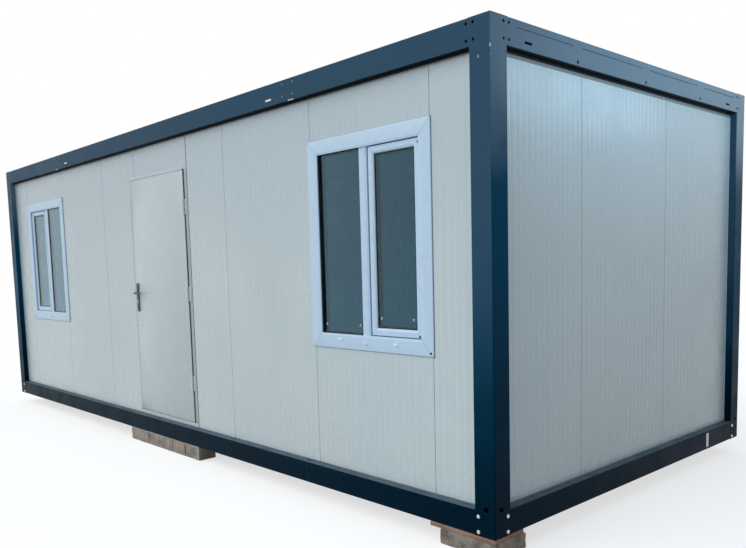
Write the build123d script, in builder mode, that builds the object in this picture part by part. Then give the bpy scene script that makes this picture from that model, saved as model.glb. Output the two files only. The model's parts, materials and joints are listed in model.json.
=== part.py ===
"""Portable site cabin on its block supports.

The cabin is a bolted ring frame of cold-formed steel, closed with 50 mm sandwich
panels. The long front wall faces -Y and holds a door between two windows. The end
wall at +X is plain. The origin is on the ground, under the middle of the cabin.
"""

import os

from build123d import *

os.makedirs("parts", exist_ok=True)

# Cabin body
length = 7000
width = 3000
body_height = 2550
support_height = 110

# Steel frame
steel = 3
frame_face = 130
beam_height = 135
panel_setback = 50
flange_depth = 130
top_flange_depth = 62
lip = 20
bend_radius = 4
post_corner_radius = 6
cap_plate = 6
base_plate = 8

# Splices of the long beams, with their service holes, notches and ledge slots
top_splice_from_end = 1577
splice_hole_diameter = 16
splice_holes_below_top = (29, 102)
notch_length = 58
notch_height = 5
notch_offset = 26
bottom_splice_from_end = 1550
seam_groove_width = 2.5
seam_groove_depth = 1.2
ledge_slot_length = 60
ledge_slot_width = 11
ledge_slot_setback = 36
ledge_slot_from_end = 1535

# Bolt holes at the top corners, and the drain hole low in each post
bolt_hole_diameter = 16
post_hole_from_end = 104
beam_hole_from_end = 146
upper_hole_below_top = 26
hole_row_spacing = 80
drain_hole_size = 26
drain_hole_from_end = 54
drain_hole_height = 143

# Lifting slots in the top beams
slot_length = 62
slot_height = 12
long_slot_from_end = 1789
end_slot_from_end = 302
slot_below_top = 97

# Service holes of the end top beams, and the long grooves pressed in between them
service_hole_spacing = 750
service_hole_diameter = 18
service_hole_below_top = 115
groove_below_top = 38
groove_height = 5
groove_to_service_hole = 45
groove_to_post = 70
pressed_depth = 1.6

# Sandwich wall panels
panel_thickness = 50
panel_module = 1000
left_edge_width = 360
right_edge_width = 309
end_edge_width = 740
seam_gap = 2
over_door_seam = 116

# Windows
window_left_from_end = 1006
window_right_from_end = 944
window_width = 850
window_height = 1082
window_sill_height = 976
trim_width = 89
trim_thickness = 8
frame_width = 20
frame_depth = 70
mullion_width = 66
mullion_offset = 24
mullion_setback = 5
sash_setback = 7
sash_depth = 36
sash_gap = 4
sash_width = 44
sash_stop = 16
glass_thickness = 20
fixed_glass_setback = 14
sash_glass_setback = 20

# Door
door_offset = 36
door_frame_width = 1004
over_door_height = 235
door_frame_depth = 62
hinge_jamb = 50
latch_jamb = 14
door_head = 20
threshold_height = 35
leaf_thickness = 40
hinge_side_gap = 14
latch_side_gap = 6
leaf_top_gap = 6
leaf_bottom_gap = 8
door_stop_width = 16
door_stop_gap = 6
leaf_edge_radius = 2

# Hinges
low_hinge_height = 309
high_hinge_drop = 283
middle_hinge_shift = 17
hinge_length = 118
knuckle_radius = 8
pin_radius = 4
pin_clearance = 0.05
knuckle_gap = 1
hinge_plate = 3
frame_plate_width = 27
door_plate_width = 36
door_knuckle_share = 0.4

# Handle
handle_height = 1196
handle_backset = 50
handle_plate_width = 38
handle_plate_height = 244
handle_plate_thickness = 8
handle_plate_above = 84
spindle_radius = 9
spindle_clearance = 0.05
leaf_bore_radius = 14
lever_reach = 40
lever_length = 128
lever_thickness = 13

# Floor and roof
floor_thickness = 20
joist_count = 11
joist_flange = 50
ceiling_thickness = 12
purlin_count = 9
purlin_width = 40
purlin_height = 70
roof_sheet = 3
roof_seam_spacing = 500
roof_seam_height = 22
roof_seam_width = 24
roof_edge_gap = 2

# Supports
plank_thickness = 25
plank_length = 440
plank_width = 240
corner_block_length = 370
corner_block_width = 260
support_inset = 280
middle_block_lengths = (335, 410, 205, 215)
middle_block_width = 150
middle_block_gap = 5
middle_offset = 10
shim_thickness = 10

# Places worked out from the sizes above
base = support_height
top = base + body_height
panel_bottom = base + beam_height
panel_top = top - beam_height
left_end = -length / 2
right_end = length / 2
wall_face = width / 2 - panel_setback
end_face = length / 2 - panel_setback
front_y = -wall_face
left_seams = [left_end + frame_face + left_edge_width + i * panel_module for i in range(3)]
right_seams = [right_end - frame_face - right_edge_width - i * panel_module for i in range(3)]
door_left = door_offset - door_frame_width / 2
door_right = door_offset + door_frame_width / 2
door_top = panel_top - over_door_height


def front_plane(setback=0.0):
    """Plane facing out of the front wall, a distance behind the panels' outer face."""
    return Plane.XZ.offset(wall_face - setback)


def save(builder, name):
    """Label the finished piece and write it as one STEP file."""
    builder.part.label = name
    export_step(builder.part, f"parts/{name}.step")


# Corner posts: closed square tubes with a base plate and a cap
for y_name, y_side in (("front", -1), ("back", 1)):
    for x_name, x_side in (("left", -1), ("right", 1)):
        center_x = x_side * (length - frame_face) / 2
        center_y = y_side * (width - frame_face) / 2
        with BuildPart() as corner_post:
            with BuildSketch(Plane.XY.offset(base)):
                with Locations((center_x, center_y)):
                    RectangleRounded(frame_face, frame_face, post_corner_radius)
            extrude(amount=body_height)
            with BuildSketch(Plane.XY.offset(base + base_plate)):
                with Locations((center_x, center_y)):
                    Rectangle(frame_face - 2 * steel, frame_face - 2 * steel)
            extrude(amount=body_height - base_plate - cap_plate, mode=Mode.SUBTRACT)
            upper_hole = top - upper_hole_below_top
            hole_rows = (upper_hole, upper_hole - hole_row_spacing)
            hole_x = x_side * (length / 2 - post_hole_from_end)
            hole_y = y_side * (width / 2 - post_hole_from_end)
            long_face = [Plane((hole_x, y_side * width / 2, z), z_dir=(0, y_side, 0)) for z in hole_rows]
            end_wall_face = [Plane((x_side * length / 2, hole_y, z), z_dir=(x_side, 0, 0)) for z in hole_rows]
            with Locations(*long_face, *end_wall_face):
                Hole(bolt_hole_diameter / 2, depth=2 * steel)
            drain_x = x_side * (length / 2 - drain_hole_from_end)
            drain_y = y_side * (width / 2 - drain_hole_from_end)
            drain_z = base + drain_hole_height
            with Locations((drain_x, y_side * (width - steel) / 2, drain_z)):
                Box(drain_hole_size, 2 * steel, drain_hole_size, mode=Mode.SUBTRACT)
            with Locations((x_side * (length - steel) / 2, drain_y, drain_z)):
                Box(2 * steel, drain_hole_size, drain_hole_size, mode=Mode.SUBTRACT)
        save(corner_post, f"corner_post_{y_name}_{x_name}")


def channel_section(plane, outer, side, low, high, low_depth, high_depth, low_lip, high_lip):
    """Section of a folded channel: a web at the outer face, two flanges, two lips."""
    inwards = Align.MIN if side < 0 else Align.MAX
    with BuildSketch(plane) as section:
        with Locations((outer, low)):
            Rectangle(steel, high - low, align=(inwards, Align.MIN))
            Rectangle(low_depth, steel, align=(inwards, Align.MIN))
        with Locations((outer, high)):
            Rectangle(high_depth, steel, align=(inwards, Align.MAX))
        with Locations((outer - side * (low_depth - steel), low)):
            Rectangle(steel, low_lip, align=(inwards, Align.MIN))
        with Locations((outer - side * (high_depth - steel), high)):
            Rectangle(steel, high_lip, align=(inwards, Align.MAX))
        fillet(section.vertices().sort_by(Axis.X, reverse=side > 0)[:2], radius=bend_radius)
    return section.sketch


# Long beams: top and bottom channels between the posts, each spliced near both ends
beam_run = length - 2 * frame_face
for y_name, y_side in (("front", -1), ("back", 1)):
    outer_y = y_side * width / 2
    with BuildPart() as top_beam:
        section = channel_section(
            Plane.YZ.offset(-beam_run / 2), outer_y, y_side, panel_top, top,
            flange_depth, top_flange_depth, steel, lip,
        )
        extrude(section, amount=beam_run)
        upper_hole = top - upper_hole_below_top
        hole_places = [
            Plane((x_side * (length / 2 - beam_hole_from_end), outer_y, z), z_dir=(0, y_side, 0))
            for x_side in (-1, 1)
            for z in (upper_hole, upper_hole - hole_row_spacing)
        ]
        with Locations(*hole_places):
            Hole(bolt_hole_diameter / 2, depth=2 * steel)
        for x_side in (-1, 1):
            splice_x = x_side * (length / 2 - top_splice_from_end)
            with Locations((x_side * (length / 2 - long_slot_from_end), outer_y, top - slot_below_top)):
                Box(slot_length, 3 * steel, slot_height, mode=Mode.SUBTRACT)
            with Locations((splice_x + x_side * notch_offset, outer_y, panel_top)):
                Box(notch_length, 2 * bend_radius, 2 * notch_height, mode=Mode.SUBTRACT)
            splice_holes = [
                Plane((splice_x, outer_y, top - drop), z_dir=(0, y_side, 0))
                for drop in splice_holes_below_top
            ]
            with Locations(*splice_holes):
                Hole(splice_hole_diameter / 2, depth=2 * steel)
    save(top_beam, f"{y_name}_top_beam")

    with BuildPart() as bottom_beam:
        section = channel_section(
            Plane.YZ.offset(-beam_run / 2), outer_y, y_side, base, panel_bottom,
            top_flange_depth, flange_depth, steel, steel,
        )
        extrude(section, amount=beam_run)
        ledge_slot_y = outer_y - y_side * ledge_slot_setback
        for x_side in (-1, 1):
            with Locations((x_side * (length / 2 - bottom_splice_from_end), outer_y, base + beam_height / 2)):
                Box(seam_groove_width, 2 * seam_groove_depth, beam_height, mode=Mode.SUBTRACT)
            with Locations((x_side * (length / 2 - ledge_slot_from_end), ledge_slot_y, panel_bottom)):
                Box(ledge_slot_length, ledge_slot_width, 3 * steel, mode=Mode.SUBTRACT)
    save(bottom_beam, f"{y_name}_bottom_beam")

# End beams: shorter channels, the top ones with service holes and pressed grooves
end_run = width - 2 * frame_face
service_holes = (-service_hole_spacing, 0, service_hole_spacing)
groove_starts = [-end_run / 2 + groove_to_post] + [y + groove_to_service_hole for y in service_holes]
groove_ends = [y - groove_to_service_hole for y in service_holes] + [end_run / 2 - groove_to_post]
for x_name, x_side in (("left", -1), ("right", 1)):
    outer_x = x_side * length / 2
    with BuildPart() as end_top_beam:
        section = channel_section(
            Plane.XZ.offset(-end_run / 2), outer_x, x_side, panel_top, top,
            flange_depth, top_flange_depth, steel, lip,
        )
        extrude(section, amount=end_run)
        upper_hole = top - upper_hole_below_top
        hole_places = [
            Plane((outer_x, y_side * (width / 2 - beam_hole_from_end), z), z_dir=(x_side, 0, 0))
            for y_side in (-1, 1)
            for z in (upper_hole, upper_hole - hole_row_spacing)
        ]
        with Locations(*hole_places):
            Hole(bolt_hole_diameter / 2, depth=2 * steel)
        for y_side in (-1, 1):
            with Locations((outer_x, y_side * (width / 2 - end_slot_from_end), top - slot_below_top)):
                Box(3 * steel, slot_length, slot_height, mode=Mode.SUBTRACT)
        for hole_y in service_holes:
            with Locations(Plane((outer_x, hole_y, top - service_hole_below_top), z_dir=(x_side, 0, 0))):
                Hole(service_hole_diameter / 2, depth=2 * steel)
        for groove_start, groove_end in zip(groove_starts, groove_ends):
            with Locations((outer_x, (groove_start + groove_end) / 2, top - groove_below_top)):
                Box(2 * pressed_depth, groove_end - groove_start, groove_height, mode=Mode.SUBTRACT)
    save(end_top_beam, f"{x_name}_end_top_beam")

    with BuildPart() as end_bottom_beam:
        section = channel_section(
            Plane.XZ.offset(-end_run / 2), outer_x, x_side, base, panel_bottom,
            top_flange_depth, flange_depth, steel, steel,
        )
        extrude(section, amount=end_run)
    save(end_bottom_beam, f"{x_name}_end_bottom_beam")


def slab_outlines(plane, spans, low, high):
    """Outlines of slabs side by side on a wall plane, each a hair narrower than its span."""
    with BuildSketch(plane) as outlines:
        for start, end in spans:
            with Locations(((start + end) / 2, (low + high) / 2)):
                Rectangle(end - start - seam_gap, high - low)
    return outlines.sketch


# Front wall: one panel to a node, split beside and over the door
inner_left = left_end + frame_face - seam_gap / 2
inner_right = right_end - frame_face + seam_gap / 2
front_spans = {
    "front_panel_left_edge": (inner_left, left_seams[0]),
    "front_panel_left_plain": (left_seams[1], left_seams[2]),
    "front_panel_beside_latch": (left_seams[2], door_left + seam_gap / 2),
    "front_panel_beside_hinges": (door_right - seam_gap / 2, right_seams[2]),
    "front_panel_right_plain": (right_seams[2], right_seams[1]),
    "front_panel_right_edge": (right_seams[0], inner_right),
}
for panel_name, span in front_spans.items():
    with BuildPart() as front_panel:
        outlines = slab_outlines(front_plane(), [span], panel_bottom, panel_top)
        extrude(outlines, amount=-panel_thickness)
    save(front_panel, panel_name)

over_door_split = door_left + over_door_seam
with BuildPart() as over_door_panels:
    over_door_spans = [
        (door_left - seam_gap / 2, over_door_split),
        (over_door_split, door_right + seam_gap / 2),
    ]
    outlines = slab_outlines(front_plane(), over_door_spans, door_top, panel_top)
    extrude(outlines, amount=-panel_thickness)
save(over_door_panels, "over_door_panels")

# Window panels, windows and their glass; the far window is the near one's mirror image
window_middle = base + window_sill_height + window_height / 2
left_window_x = left_end + window_left_from_end
right_window_x = right_end - window_right_from_end
window_sets = (
    ("left", left_window_x, -1, (left_seams[0], left_seams[1])),
    ("right", right_window_x, 1, (right_seams[1], right_seams[0])),
)
for side_name, window_x, sash_side, panel_span in window_sets:
    hole_width = window_width + 2 * frame_width
    hole_height = window_height + 2 * frame_width
    with BuildPart() as window_panel:
        outlines = slab_outlines(front_plane(), [panel_span], panel_bottom, panel_top)
        extrude(outlines, amount=-panel_thickness)
        with BuildSketch(front_plane()):
            with Locations((window_x, window_middle)):
                Rectangle(hole_width, hole_height)
        extrude(amount=-panel_thickness, mode=Mode.SUBTRACT)
    save(window_panel, f"front_panel_{side_name}_window")

    mullion_x = window_x - sash_side * mullion_offset
    sash_light = window_width / 2 + mullion_offset - mullion_width / 2
    fixed_light = window_width / 2 - mullion_offset - mullion_width / 2
    sash_x = window_x + sash_side * (window_width - sash_light) / 2
    fixed_x = window_x - sash_side * (window_width - fixed_light) / 2
    with BuildPart() as window_frame:
        with BuildSketch(front_plane()):
            with Locations((window_x, window_middle)):
                Rectangle(window_width + 2 * trim_width, window_height + 2 * trim_width)
                Rectangle(window_width, window_height, mode=Mode.SUBTRACT)
        extrude(amount=trim_thickness)
        with BuildSketch(front_plane()):
            with Locations((window_x, window_middle)):
                Rectangle(hole_width, hole_height)
                Rectangle(window_width, window_height, mode=Mode.SUBTRACT)
        extrude(amount=-frame_depth)
        with BuildSketch(front_plane(mullion_setback)):
            with Locations((mullion_x, window_middle)):
                Rectangle(mullion_width, window_height)
        extrude(amount=-(frame_depth - mullion_setback))
        with BuildSketch(front_plane(sash_setback + sash_depth)):
            with Locations((sash_x, window_middle)):
                Rectangle(sash_light, window_height)
                Rectangle(sash_light - 2 * sash_stop, window_height - 2 * sash_stop, mode=Mode.SUBTRACT)
        extrude(amount=-(frame_depth - sash_setback - sash_depth))
        with BuildSketch(front_plane(panel_thickness)):
            with Locations((window_x, window_middle)):
                Rectangle(window_width + 2 * trim_width, window_height + 2 * trim_width)
                Rectangle(hole_width, hole_height, mode=Mode.SUBTRACT)
        extrude(amount=-trim_thickness)
    save(window_frame, f"window_frame_{side_name}")

    sash_outer_width = sash_light - 2 * sash_gap
    sash_outer_height = window_height - 2 * sash_gap
    sash_glass_width = sash_outer_width - 2 * sash_width
    sash_glass_height = sash_outer_height - 2 * sash_width
    with BuildPart() as window_sash:
        with BuildSketch(front_plane(sash_setback)):
            with Locations((sash_x, window_middle)):
                Rectangle(sash_outer_width, sash_outer_height)
                Rectangle(sash_glass_width, sash_glass_height, mode=Mode.SUBTRACT)
        extrude(amount=-sash_depth)
    save(window_sash, f"window_sash_{side_name}")

    with BuildPart() as window_glass:
        with BuildSketch(front_plane(fixed_glass_setback)):
            with Locations((fixed_x, window_middle)):
                Rectangle(fixed_light, window_height)
        extrude(amount=-glass_thickness)
        with BuildSketch(front_plane(sash_glass_setback)):
            with Locations((sash_x, window_middle)):
                Rectangle(sash_glass_width, sash_glass_height)
        extrude(amount=-glass_thickness)
    save(window_glass, f"window_glass_{side_name}")

# End walls and back wall: plain slabs between the posts
near_edge = -width / 2 + frame_face - seam_gap / 2
far_edge = width / 2 - frame_face + seam_gap / 2
end_seams = [near_edge + seam_gap / 2 + end_edge_width + i * panel_module for i in range(2)]
end_spans = [(near_edge, end_seams[0]), (end_seams[0], end_seams[1]), (end_seams[1], far_edge)]
for x_name, x_side in (("left", -1), ("right", 1)):
    with BuildPart() as end_wall:
        outlines = slab_outlines(Plane.YZ.offset(x_side * end_face), end_spans, panel_bottom, panel_top)
        extrude(outlines, amount=-x_side * panel_thickness)
    save(end_wall, f"{x_name}_end_wall_panels")

back_edges = [inner_left]
back_edges += [left_seams[0] + i * panel_module for i in range(7)]
back_edges = [edge for edge in back_edges if edge < inner_right - panel_module / 4] + [inner_right]
with BuildPart() as back_wall_panels:
    back_spans = list(zip(back_edges, back_edges[1:]))
    outlines = slab_outlines(Plane.XZ.offset(-wall_face), back_spans, panel_bottom, panel_top)
    extrude(outlines, amount=panel_thickness)
save(back_wall_panels, "back_wall_panels")

# Door frame: jambs, head and threshold round a rebate, with a stop behind the leaf
clear_left = door_left + latch_jamb
clear_right = door_right - hinge_jamb
clear_bottom = panel_bottom + threshold_height
clear_top = door_top - door_head
stop_setback = leaf_thickness + door_stop_gap
with BuildPart() as door_frame:
    with BuildSketch(front_plane()):
        with Locations(((door_left + door_right) / 2, (panel_bottom + door_top) / 2)):
            Rectangle(door_right - door_left, door_top - panel_bottom)
        with Locations(((clear_left + clear_right) / 2, (clear_bottom + clear_top) / 2)):
            Rectangle(clear_right - clear_left, clear_top - clear_bottom, mode=Mode.SUBTRACT)
    extrude(amount=-door_frame_depth)
    with BuildSketch(front_plane(stop_setback)):
        with Locations(((clear_left + clear_right) / 2, (clear_bottom + clear_top) / 2)):
            Rectangle(clear_right - clear_left, clear_top - clear_bottom)
            Rectangle(
                clear_right - clear_left - 2 * door_stop_width,
                clear_top - clear_bottom - 2 * door_stop_width,
                mode=Mode.SUBTRACT,
            )
    extrude(amount=-(door_frame_depth - stop_setback))
save(door_frame, "door_frame")

# Door leaf, flush with the panels, with a bore for the handle's spindle
leaf_left = clear_left + latch_side_gap
leaf_right = clear_right - hinge_side_gap
leaf_bottom = clear_bottom + leaf_bottom_gap
leaf_top = clear_top - leaf_top_gap
handle_x = leaf_left + handle_backset
handle_z = base + handle_height
with BuildPart() as door_leaf:
    with BuildSketch(front_plane()):
        with Locations(((leaf_left + leaf_right) / 2, (leaf_bottom + leaf_top) / 2)):
            RectangleRounded(leaf_right - leaf_left, leaf_top - leaf_bottom, leaf_edge_radius)
        with Locations((handle_x, handle_z)):
            Circle(leaf_bore_radius, mode=Mode.SUBTRACT)
    extrude(amount=-leaf_thickness)
save(door_leaf, "door_leaf")

# Hinges: the frame half carries the pin and two knuckles, the leaf half the middle one
low_hinge_z = leaf_bottom + low_hinge_height
high_hinge_z = leaf_top - high_hinge_drop
hinge_levels = (low_hinge_z, (low_hinge_z + high_hinge_z) / 2 + middle_hinge_shift, high_hinge_z)
hinge_x = clear_right - hinge_side_gap / 2
hinge_y = front_y - knuckle_radius
door_knuckle = hinge_length * door_knuckle_share
frame_knuckle = (hinge_length - door_knuckle) / 2 - knuckle_gap
with BuildPart() as hinge_frame_halves:
    for hinge_z in hinge_levels:
        hinge_bottom = hinge_z - hinge_length / 2
        for knuckle_bottom in (hinge_bottom, hinge_bottom + hinge_length - frame_knuckle):
            with BuildSketch(Plane.XY.offset(knuckle_bottom)):
                with Locations((hinge_x, hinge_y)):
                    Circle(knuckle_radius)
            extrude(amount=frame_knuckle)
            with BuildSketch(Plane.XY.offset(knuckle_bottom)):
                with Locations((hinge_x, front_y)):
                    Rectangle(
                        clear_right - hinge_x + frame_plate_width,
                        hinge_plate,
                        align=(Align.MIN, Align.MAX),
                    )
            extrude(amount=frame_knuckle)
        with BuildSketch(Plane.XY.offset(hinge_bottom)):
            with Locations((clear_right, front_y)):
                Rectangle(frame_plate_width, hinge_plate, align=(Align.MIN, Align.MAX))
        extrude(amount=hinge_length)
        with BuildSketch(Plane.XY.offset(hinge_bottom)):
            with Locations((hinge_x, hinge_y)):
                Circle(pin_radius)
        extrude(amount=hinge_length)
save(hinge_frame_halves, "hinge_frame_halves")

with BuildPart() as hinge_leaf_halves:
    for hinge_z in hinge_levels:
        hinge_bottom = hinge_z - hinge_length / 2
        with BuildSketch(Plane.XY.offset(hinge_z - door_knuckle / 2)):
            with Locations((hinge_x, hinge_y)):
                Circle(knuckle_radius)
            with Locations((hinge_x, front_y)):
                Rectangle(hinge_x - leaf_right, hinge_plate, align=(Align.MAX, Align.MAX))
            with Locations((hinge_x, hinge_y)):
                Circle(pin_radius + pin_clearance, mode=Mode.SUBTRACT)
        extrude(amount=door_knuckle)
        with BuildSketch(Plane.XY.offset(hinge_bottom)):
            with Locations((leaf_right, front_y)):
                Rectangle(door_plate_width, hinge_plate, align=(Align.MAX, Align.MAX))
        extrude(amount=hinge_length)
save(hinge_leaf_halves, "hinge_leaf_halves")

# Handle plates on both faces of the leaf
plate_z = handle_z + handle_plate_above - handle_plate_height / 2
with BuildPart() as handle_plates:
    for plate_setback, plate_side in ((0, 1), (leaf_thickness, -1)):
        with BuildSketch(front_plane(plate_setback)):
            with Locations((handle_x, plate_z)):
                RectangleRounded(handle_plate_width, handle_plate_height, handle_plate_width / 4)
            with Locations((handle_x, handle_z)):
                Circle(spindle_radius + spindle_clearance, mode=Mode.SUBTRACT)
        extrude(amount=plate_side * handle_plate_thickness)
save(handle_plates, "handle_plates")

# Levers inside and outside on one spindle, pointing at the hinges
outer_reach = handle_plate_thickness + lever_reach
inner_reach = leaf_thickness + handle_plate_thickness + lever_reach
with BuildPart() as handle_lever:
    with BuildSketch(front_plane(-outer_reach)):
        with Locations((handle_x, handle_z)):
            Circle(spindle_radius)
    extrude(amount=-(outer_reach + inner_reach))
    for lever_setback, lever_side in ((-outer_reach, -1), (inner_reach, 1)):
        with BuildSketch(front_plane(lever_setback)):
            with Locations((handle_x + lever_length / 2, handle_z)):
                SlotOverall(lever_length + 2 * spindle_radius, 2 * spindle_radius)
        extrude(amount=lever_side * lever_thickness)
save(handle_lever, "handle_lever")

# Floor: joists in the bottom channels, and the board that they carry
joist_run = width - 2 * steel
joist_height = beam_height - 2 * steel
joist_pitch = beam_run / (joist_count + 1)
with BuildPart() as floor_joists:
    with BuildSketch(Plane.XZ.offset(-joist_run / 2)):
        for i in range(joist_count):
            joist_x = -beam_run / 2 + (i + 1) * joist_pitch
            with Locations((joist_x, base + steel)):
                Rectangle(joist_flange, joist_height, align=(Align.CENTER, Align.MIN))
            with Locations((joist_x + steel, base + joist_height / 2 + steel)):
                Rectangle(joist_flange, joist_height - 2 * steel, mode=Mode.SUBTRACT)
    extrude(amount=joist_run)
save(floor_joists, "floor_joists")

room_length = 2 * (end_face - panel_thickness)
room_width = 2 * (wall_face - panel_thickness)
with BuildPart() as floor_board:
    with BuildSketch(Plane.XY.offset(panel_bottom)):
        Rectangle(room_length, room_width)
        with GridLocations(length - frame_face, width - frame_face, 2, 2):
            Rectangle(frame_face, frame_face, mode=Mode.SUBTRACT)
        with Locations(((door_left + door_right) / 2, front_y + panel_thickness)):
            notch_depth = 2 * (door_frame_depth - panel_thickness)
            Rectangle(door_right - door_left, notch_depth, mode=Mode.SUBTRACT)
    extrude(amount=floor_thickness)
save(floor_board, "floor_board")

# Ceiling on the top beams' lower flanges, and the purlins over it
with BuildPart() as ceiling_board:
    with BuildSketch(Plane.XY.offset(panel_top + steel)):
        Rectangle(length - 2 * top_flange_depth, width - 2 * top_flange_depth)
        with GridLocations(length - frame_face, width - frame_face, 2, 2):
            Rectangle(frame_face, frame_face, mode=Mode.SUBTRACT)
    extrude(amount=ceiling_thickness)
save(ceiling_board, "ceiling_board")

purlin_bottom = panel_top + steel + ceiling_thickness
with BuildPart() as roof_purlins:
    with BuildSketch(Plane.XZ.offset(-joist_run / 2)):
        with Locations((0, purlin_bottom + purlin_height / 2)):
            with GridLocations(beam_run / (purlin_count + 1), 0, purlin_count, 1):
                Rectangle(purlin_width, purlin_height)
                Rectangle(purlin_width - 2 * steel, purlin_height - 2 * steel, mode=Mode.SUBTRACT)
    extrude(amount=joist_run)
save(roof_purlins, "roof_purlins")

# Roof sheet with standing seams, sunk between the top beams
roof_length = length - 2 * top_flange_depth - 2 * roof_edge_gap
roof_width = width - 2 * top_flange_depth - 2 * roof_edge_gap
roof_bottom = purlin_bottom + purlin_height
with BuildPart() as roof_sheet_metal:
    with BuildSketch(Plane.XY.offset(roof_bottom)):
        Rectangle(roof_length, roof_width)
        with GridLocations(length - frame_face, width - frame_face, 2, 2):
            Rectangle(frame_face + 2 * roof_edge_gap, frame_face + 2 * roof_edge_gap, mode=Mode.SUBTRACT)
    extrude(amount=roof_sheet)
    seam_count = int((roof_length - roof_seam_spacing) // roof_seam_spacing)
    with BuildSketch(Plane.XY.offset(roof_bottom + roof_sheet)):
        with GridLocations(roof_seam_spacing, 0, seam_count, 1):
            Rectangle(roof_seam_width, roof_width - 2 * frame_face)
    extrude(amount=roof_seam_height)
save(roof_sheet_metal, "roof_sheet")

# Supports: planks on blocks near the corners, a row of blocks under each long side
block_height = support_height - plank_thickness
support_corners = (
    (right_end, -width / 2, Align.MAX, Align.MIN),
    (right_end - support_inset, width / 2, Align.MAX, Align.MAX),
    (left_end, support_inset - width / 2, Align.MIN, Align.MIN),
    (left_end, width / 2 - support_inset, Align.MIN, Align.MAX),
)
with BuildPart() as corner_planks:
    with BuildSketch(Plane.XY.offset(block_height)):
        for corner_x, corner_y, x_align, y_align in support_corners:
            with Locations((corner_x, corner_y)):
                Rectangle(plank_length, plank_width, align=(x_align, y_align))
    extrude(amount=plank_thickness)
save(corner_planks, "corner_planks")

with BuildPart() as corner_blocks:
    with BuildSketch(Plane.XY):
        for corner_x, corner_y, x_align, y_align in support_corners:
            with Locations((corner_x, corner_y)):
                Rectangle(corner_block_length, corner_block_width, align=(x_align, y_align))
    extrude(amount=block_height)
save(corner_blocks, "corner_blocks")

middle_run = sum(middle_block_lengths) + middle_block_gap * (len(middle_block_lengths) - 1)
with BuildPart() as middle_blocks:
    with BuildSketch(Plane.XY):
        block_start = middle_offset - middle_run / 2
        for block_length in middle_block_lengths:
            for y_side in (-1, 1):
                with Locations((block_start + block_length / 2, y_side * (width - middle_block_width) / 2)):
                    Rectangle(block_length, middle_block_width)
            block_start += block_length + middle_block_gap
    extrude(amount=support_height - shim_thickness)
save(middle_blocks, "middle_blocks")

with BuildPart() as middle_shims:
    with BuildSketch(Plane.XY.offset(support_height - shim_thickness)):
        with Locations((middle_offset, 0)):
            with GridLocations(0, width - middle_block_width, 1, 2):
                Rectangle(middle_run, middle_block_width)
    extrude(amount=shim_thickness)
save(middle_shims, "middle_shims")
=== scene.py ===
"""Finishes and fittings of a portable site cabin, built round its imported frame.

Lengths are in metres in the frame's own axes: +X runs along the long front wall towards
the plain end, +Y from the front wall to the back, +Z up. The front wall faces -Y.
"""

import json

import bmesh
import bpy
import numpy as np
from bpy.props import FloatProperty, FloatVectorProperty, IntProperty, PointerProperty
from mathutils import Matrix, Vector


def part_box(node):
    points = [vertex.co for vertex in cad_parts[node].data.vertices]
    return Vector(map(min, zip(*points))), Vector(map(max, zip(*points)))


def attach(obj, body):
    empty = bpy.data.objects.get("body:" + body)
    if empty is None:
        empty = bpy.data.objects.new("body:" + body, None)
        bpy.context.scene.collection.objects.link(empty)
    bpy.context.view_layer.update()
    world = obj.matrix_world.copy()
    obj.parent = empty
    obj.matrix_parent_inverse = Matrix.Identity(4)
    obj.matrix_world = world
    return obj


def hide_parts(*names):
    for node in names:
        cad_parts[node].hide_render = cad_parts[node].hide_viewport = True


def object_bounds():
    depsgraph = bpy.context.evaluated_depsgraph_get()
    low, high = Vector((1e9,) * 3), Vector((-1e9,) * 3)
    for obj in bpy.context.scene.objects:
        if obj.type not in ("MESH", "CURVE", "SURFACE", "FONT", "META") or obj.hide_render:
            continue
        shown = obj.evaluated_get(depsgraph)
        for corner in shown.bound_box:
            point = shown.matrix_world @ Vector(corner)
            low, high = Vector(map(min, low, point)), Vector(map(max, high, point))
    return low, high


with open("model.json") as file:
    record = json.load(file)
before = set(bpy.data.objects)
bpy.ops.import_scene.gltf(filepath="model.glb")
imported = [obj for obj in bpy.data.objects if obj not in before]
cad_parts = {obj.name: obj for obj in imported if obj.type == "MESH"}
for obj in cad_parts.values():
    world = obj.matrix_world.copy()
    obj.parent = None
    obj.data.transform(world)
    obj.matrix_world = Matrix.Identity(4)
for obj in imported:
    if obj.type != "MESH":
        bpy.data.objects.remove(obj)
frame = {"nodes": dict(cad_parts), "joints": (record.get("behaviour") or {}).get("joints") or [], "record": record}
cad_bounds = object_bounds()

bl_info = {
    "name": "Portable site cabin",
    "version": (1, 0, 0),
    "blender": (4, 5, 0),
    "location": "View3D > Sidebar > Site cabin",
    "description": "Adds the finishes and fittings of a site cabin round its packed frame",
    "category": "Add Mesh",
}

mm = 0.001
FRONT, BACK, LEFT, RIGHT = "front", "back", "left", "right"

# Directions along, up and outwards on each side of the cabin
sides = {
    FRONT: ((1, 0, 0), (0, 0, 1), (0, -1, 0)),
    BACK: ((1, 0, 0), (0, 0, 1), (0, 1, 0)),
    LEFT: ((0, 1, 0), (0, 0, 1), (-1, 0, 0)),
    RIGHT: ((0, 1, 0), (0, 0, 1), (1, 0, 0)),
}


def linear(code):
    """Linear colour of an sRGB hex code: each channel follows the sRGB curve backwards."""
    channels = np.array([int(code[i:i + 2], 16) / 255 for i in (0, 2, 4)])
    curved = ((channels + 0.055) / 1.055) ** 2.4
    return tuple(np.where(channels <= 0.04045, channels / 12.92, curved).tolist())


def length_setting(name, default, description):
    """A length that a user may change, in metres."""
    return FloatProperty(name=name, description=description, default=default, min=0, unit="LENGTH")


def colour_setting(name, code, description):
    """A colour that a user may change, kept as linear values."""
    return FloatVectorProperty(
        name=name, description=description, default=linear(code), subtype="COLOR", min=0, max=1
    )


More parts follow.
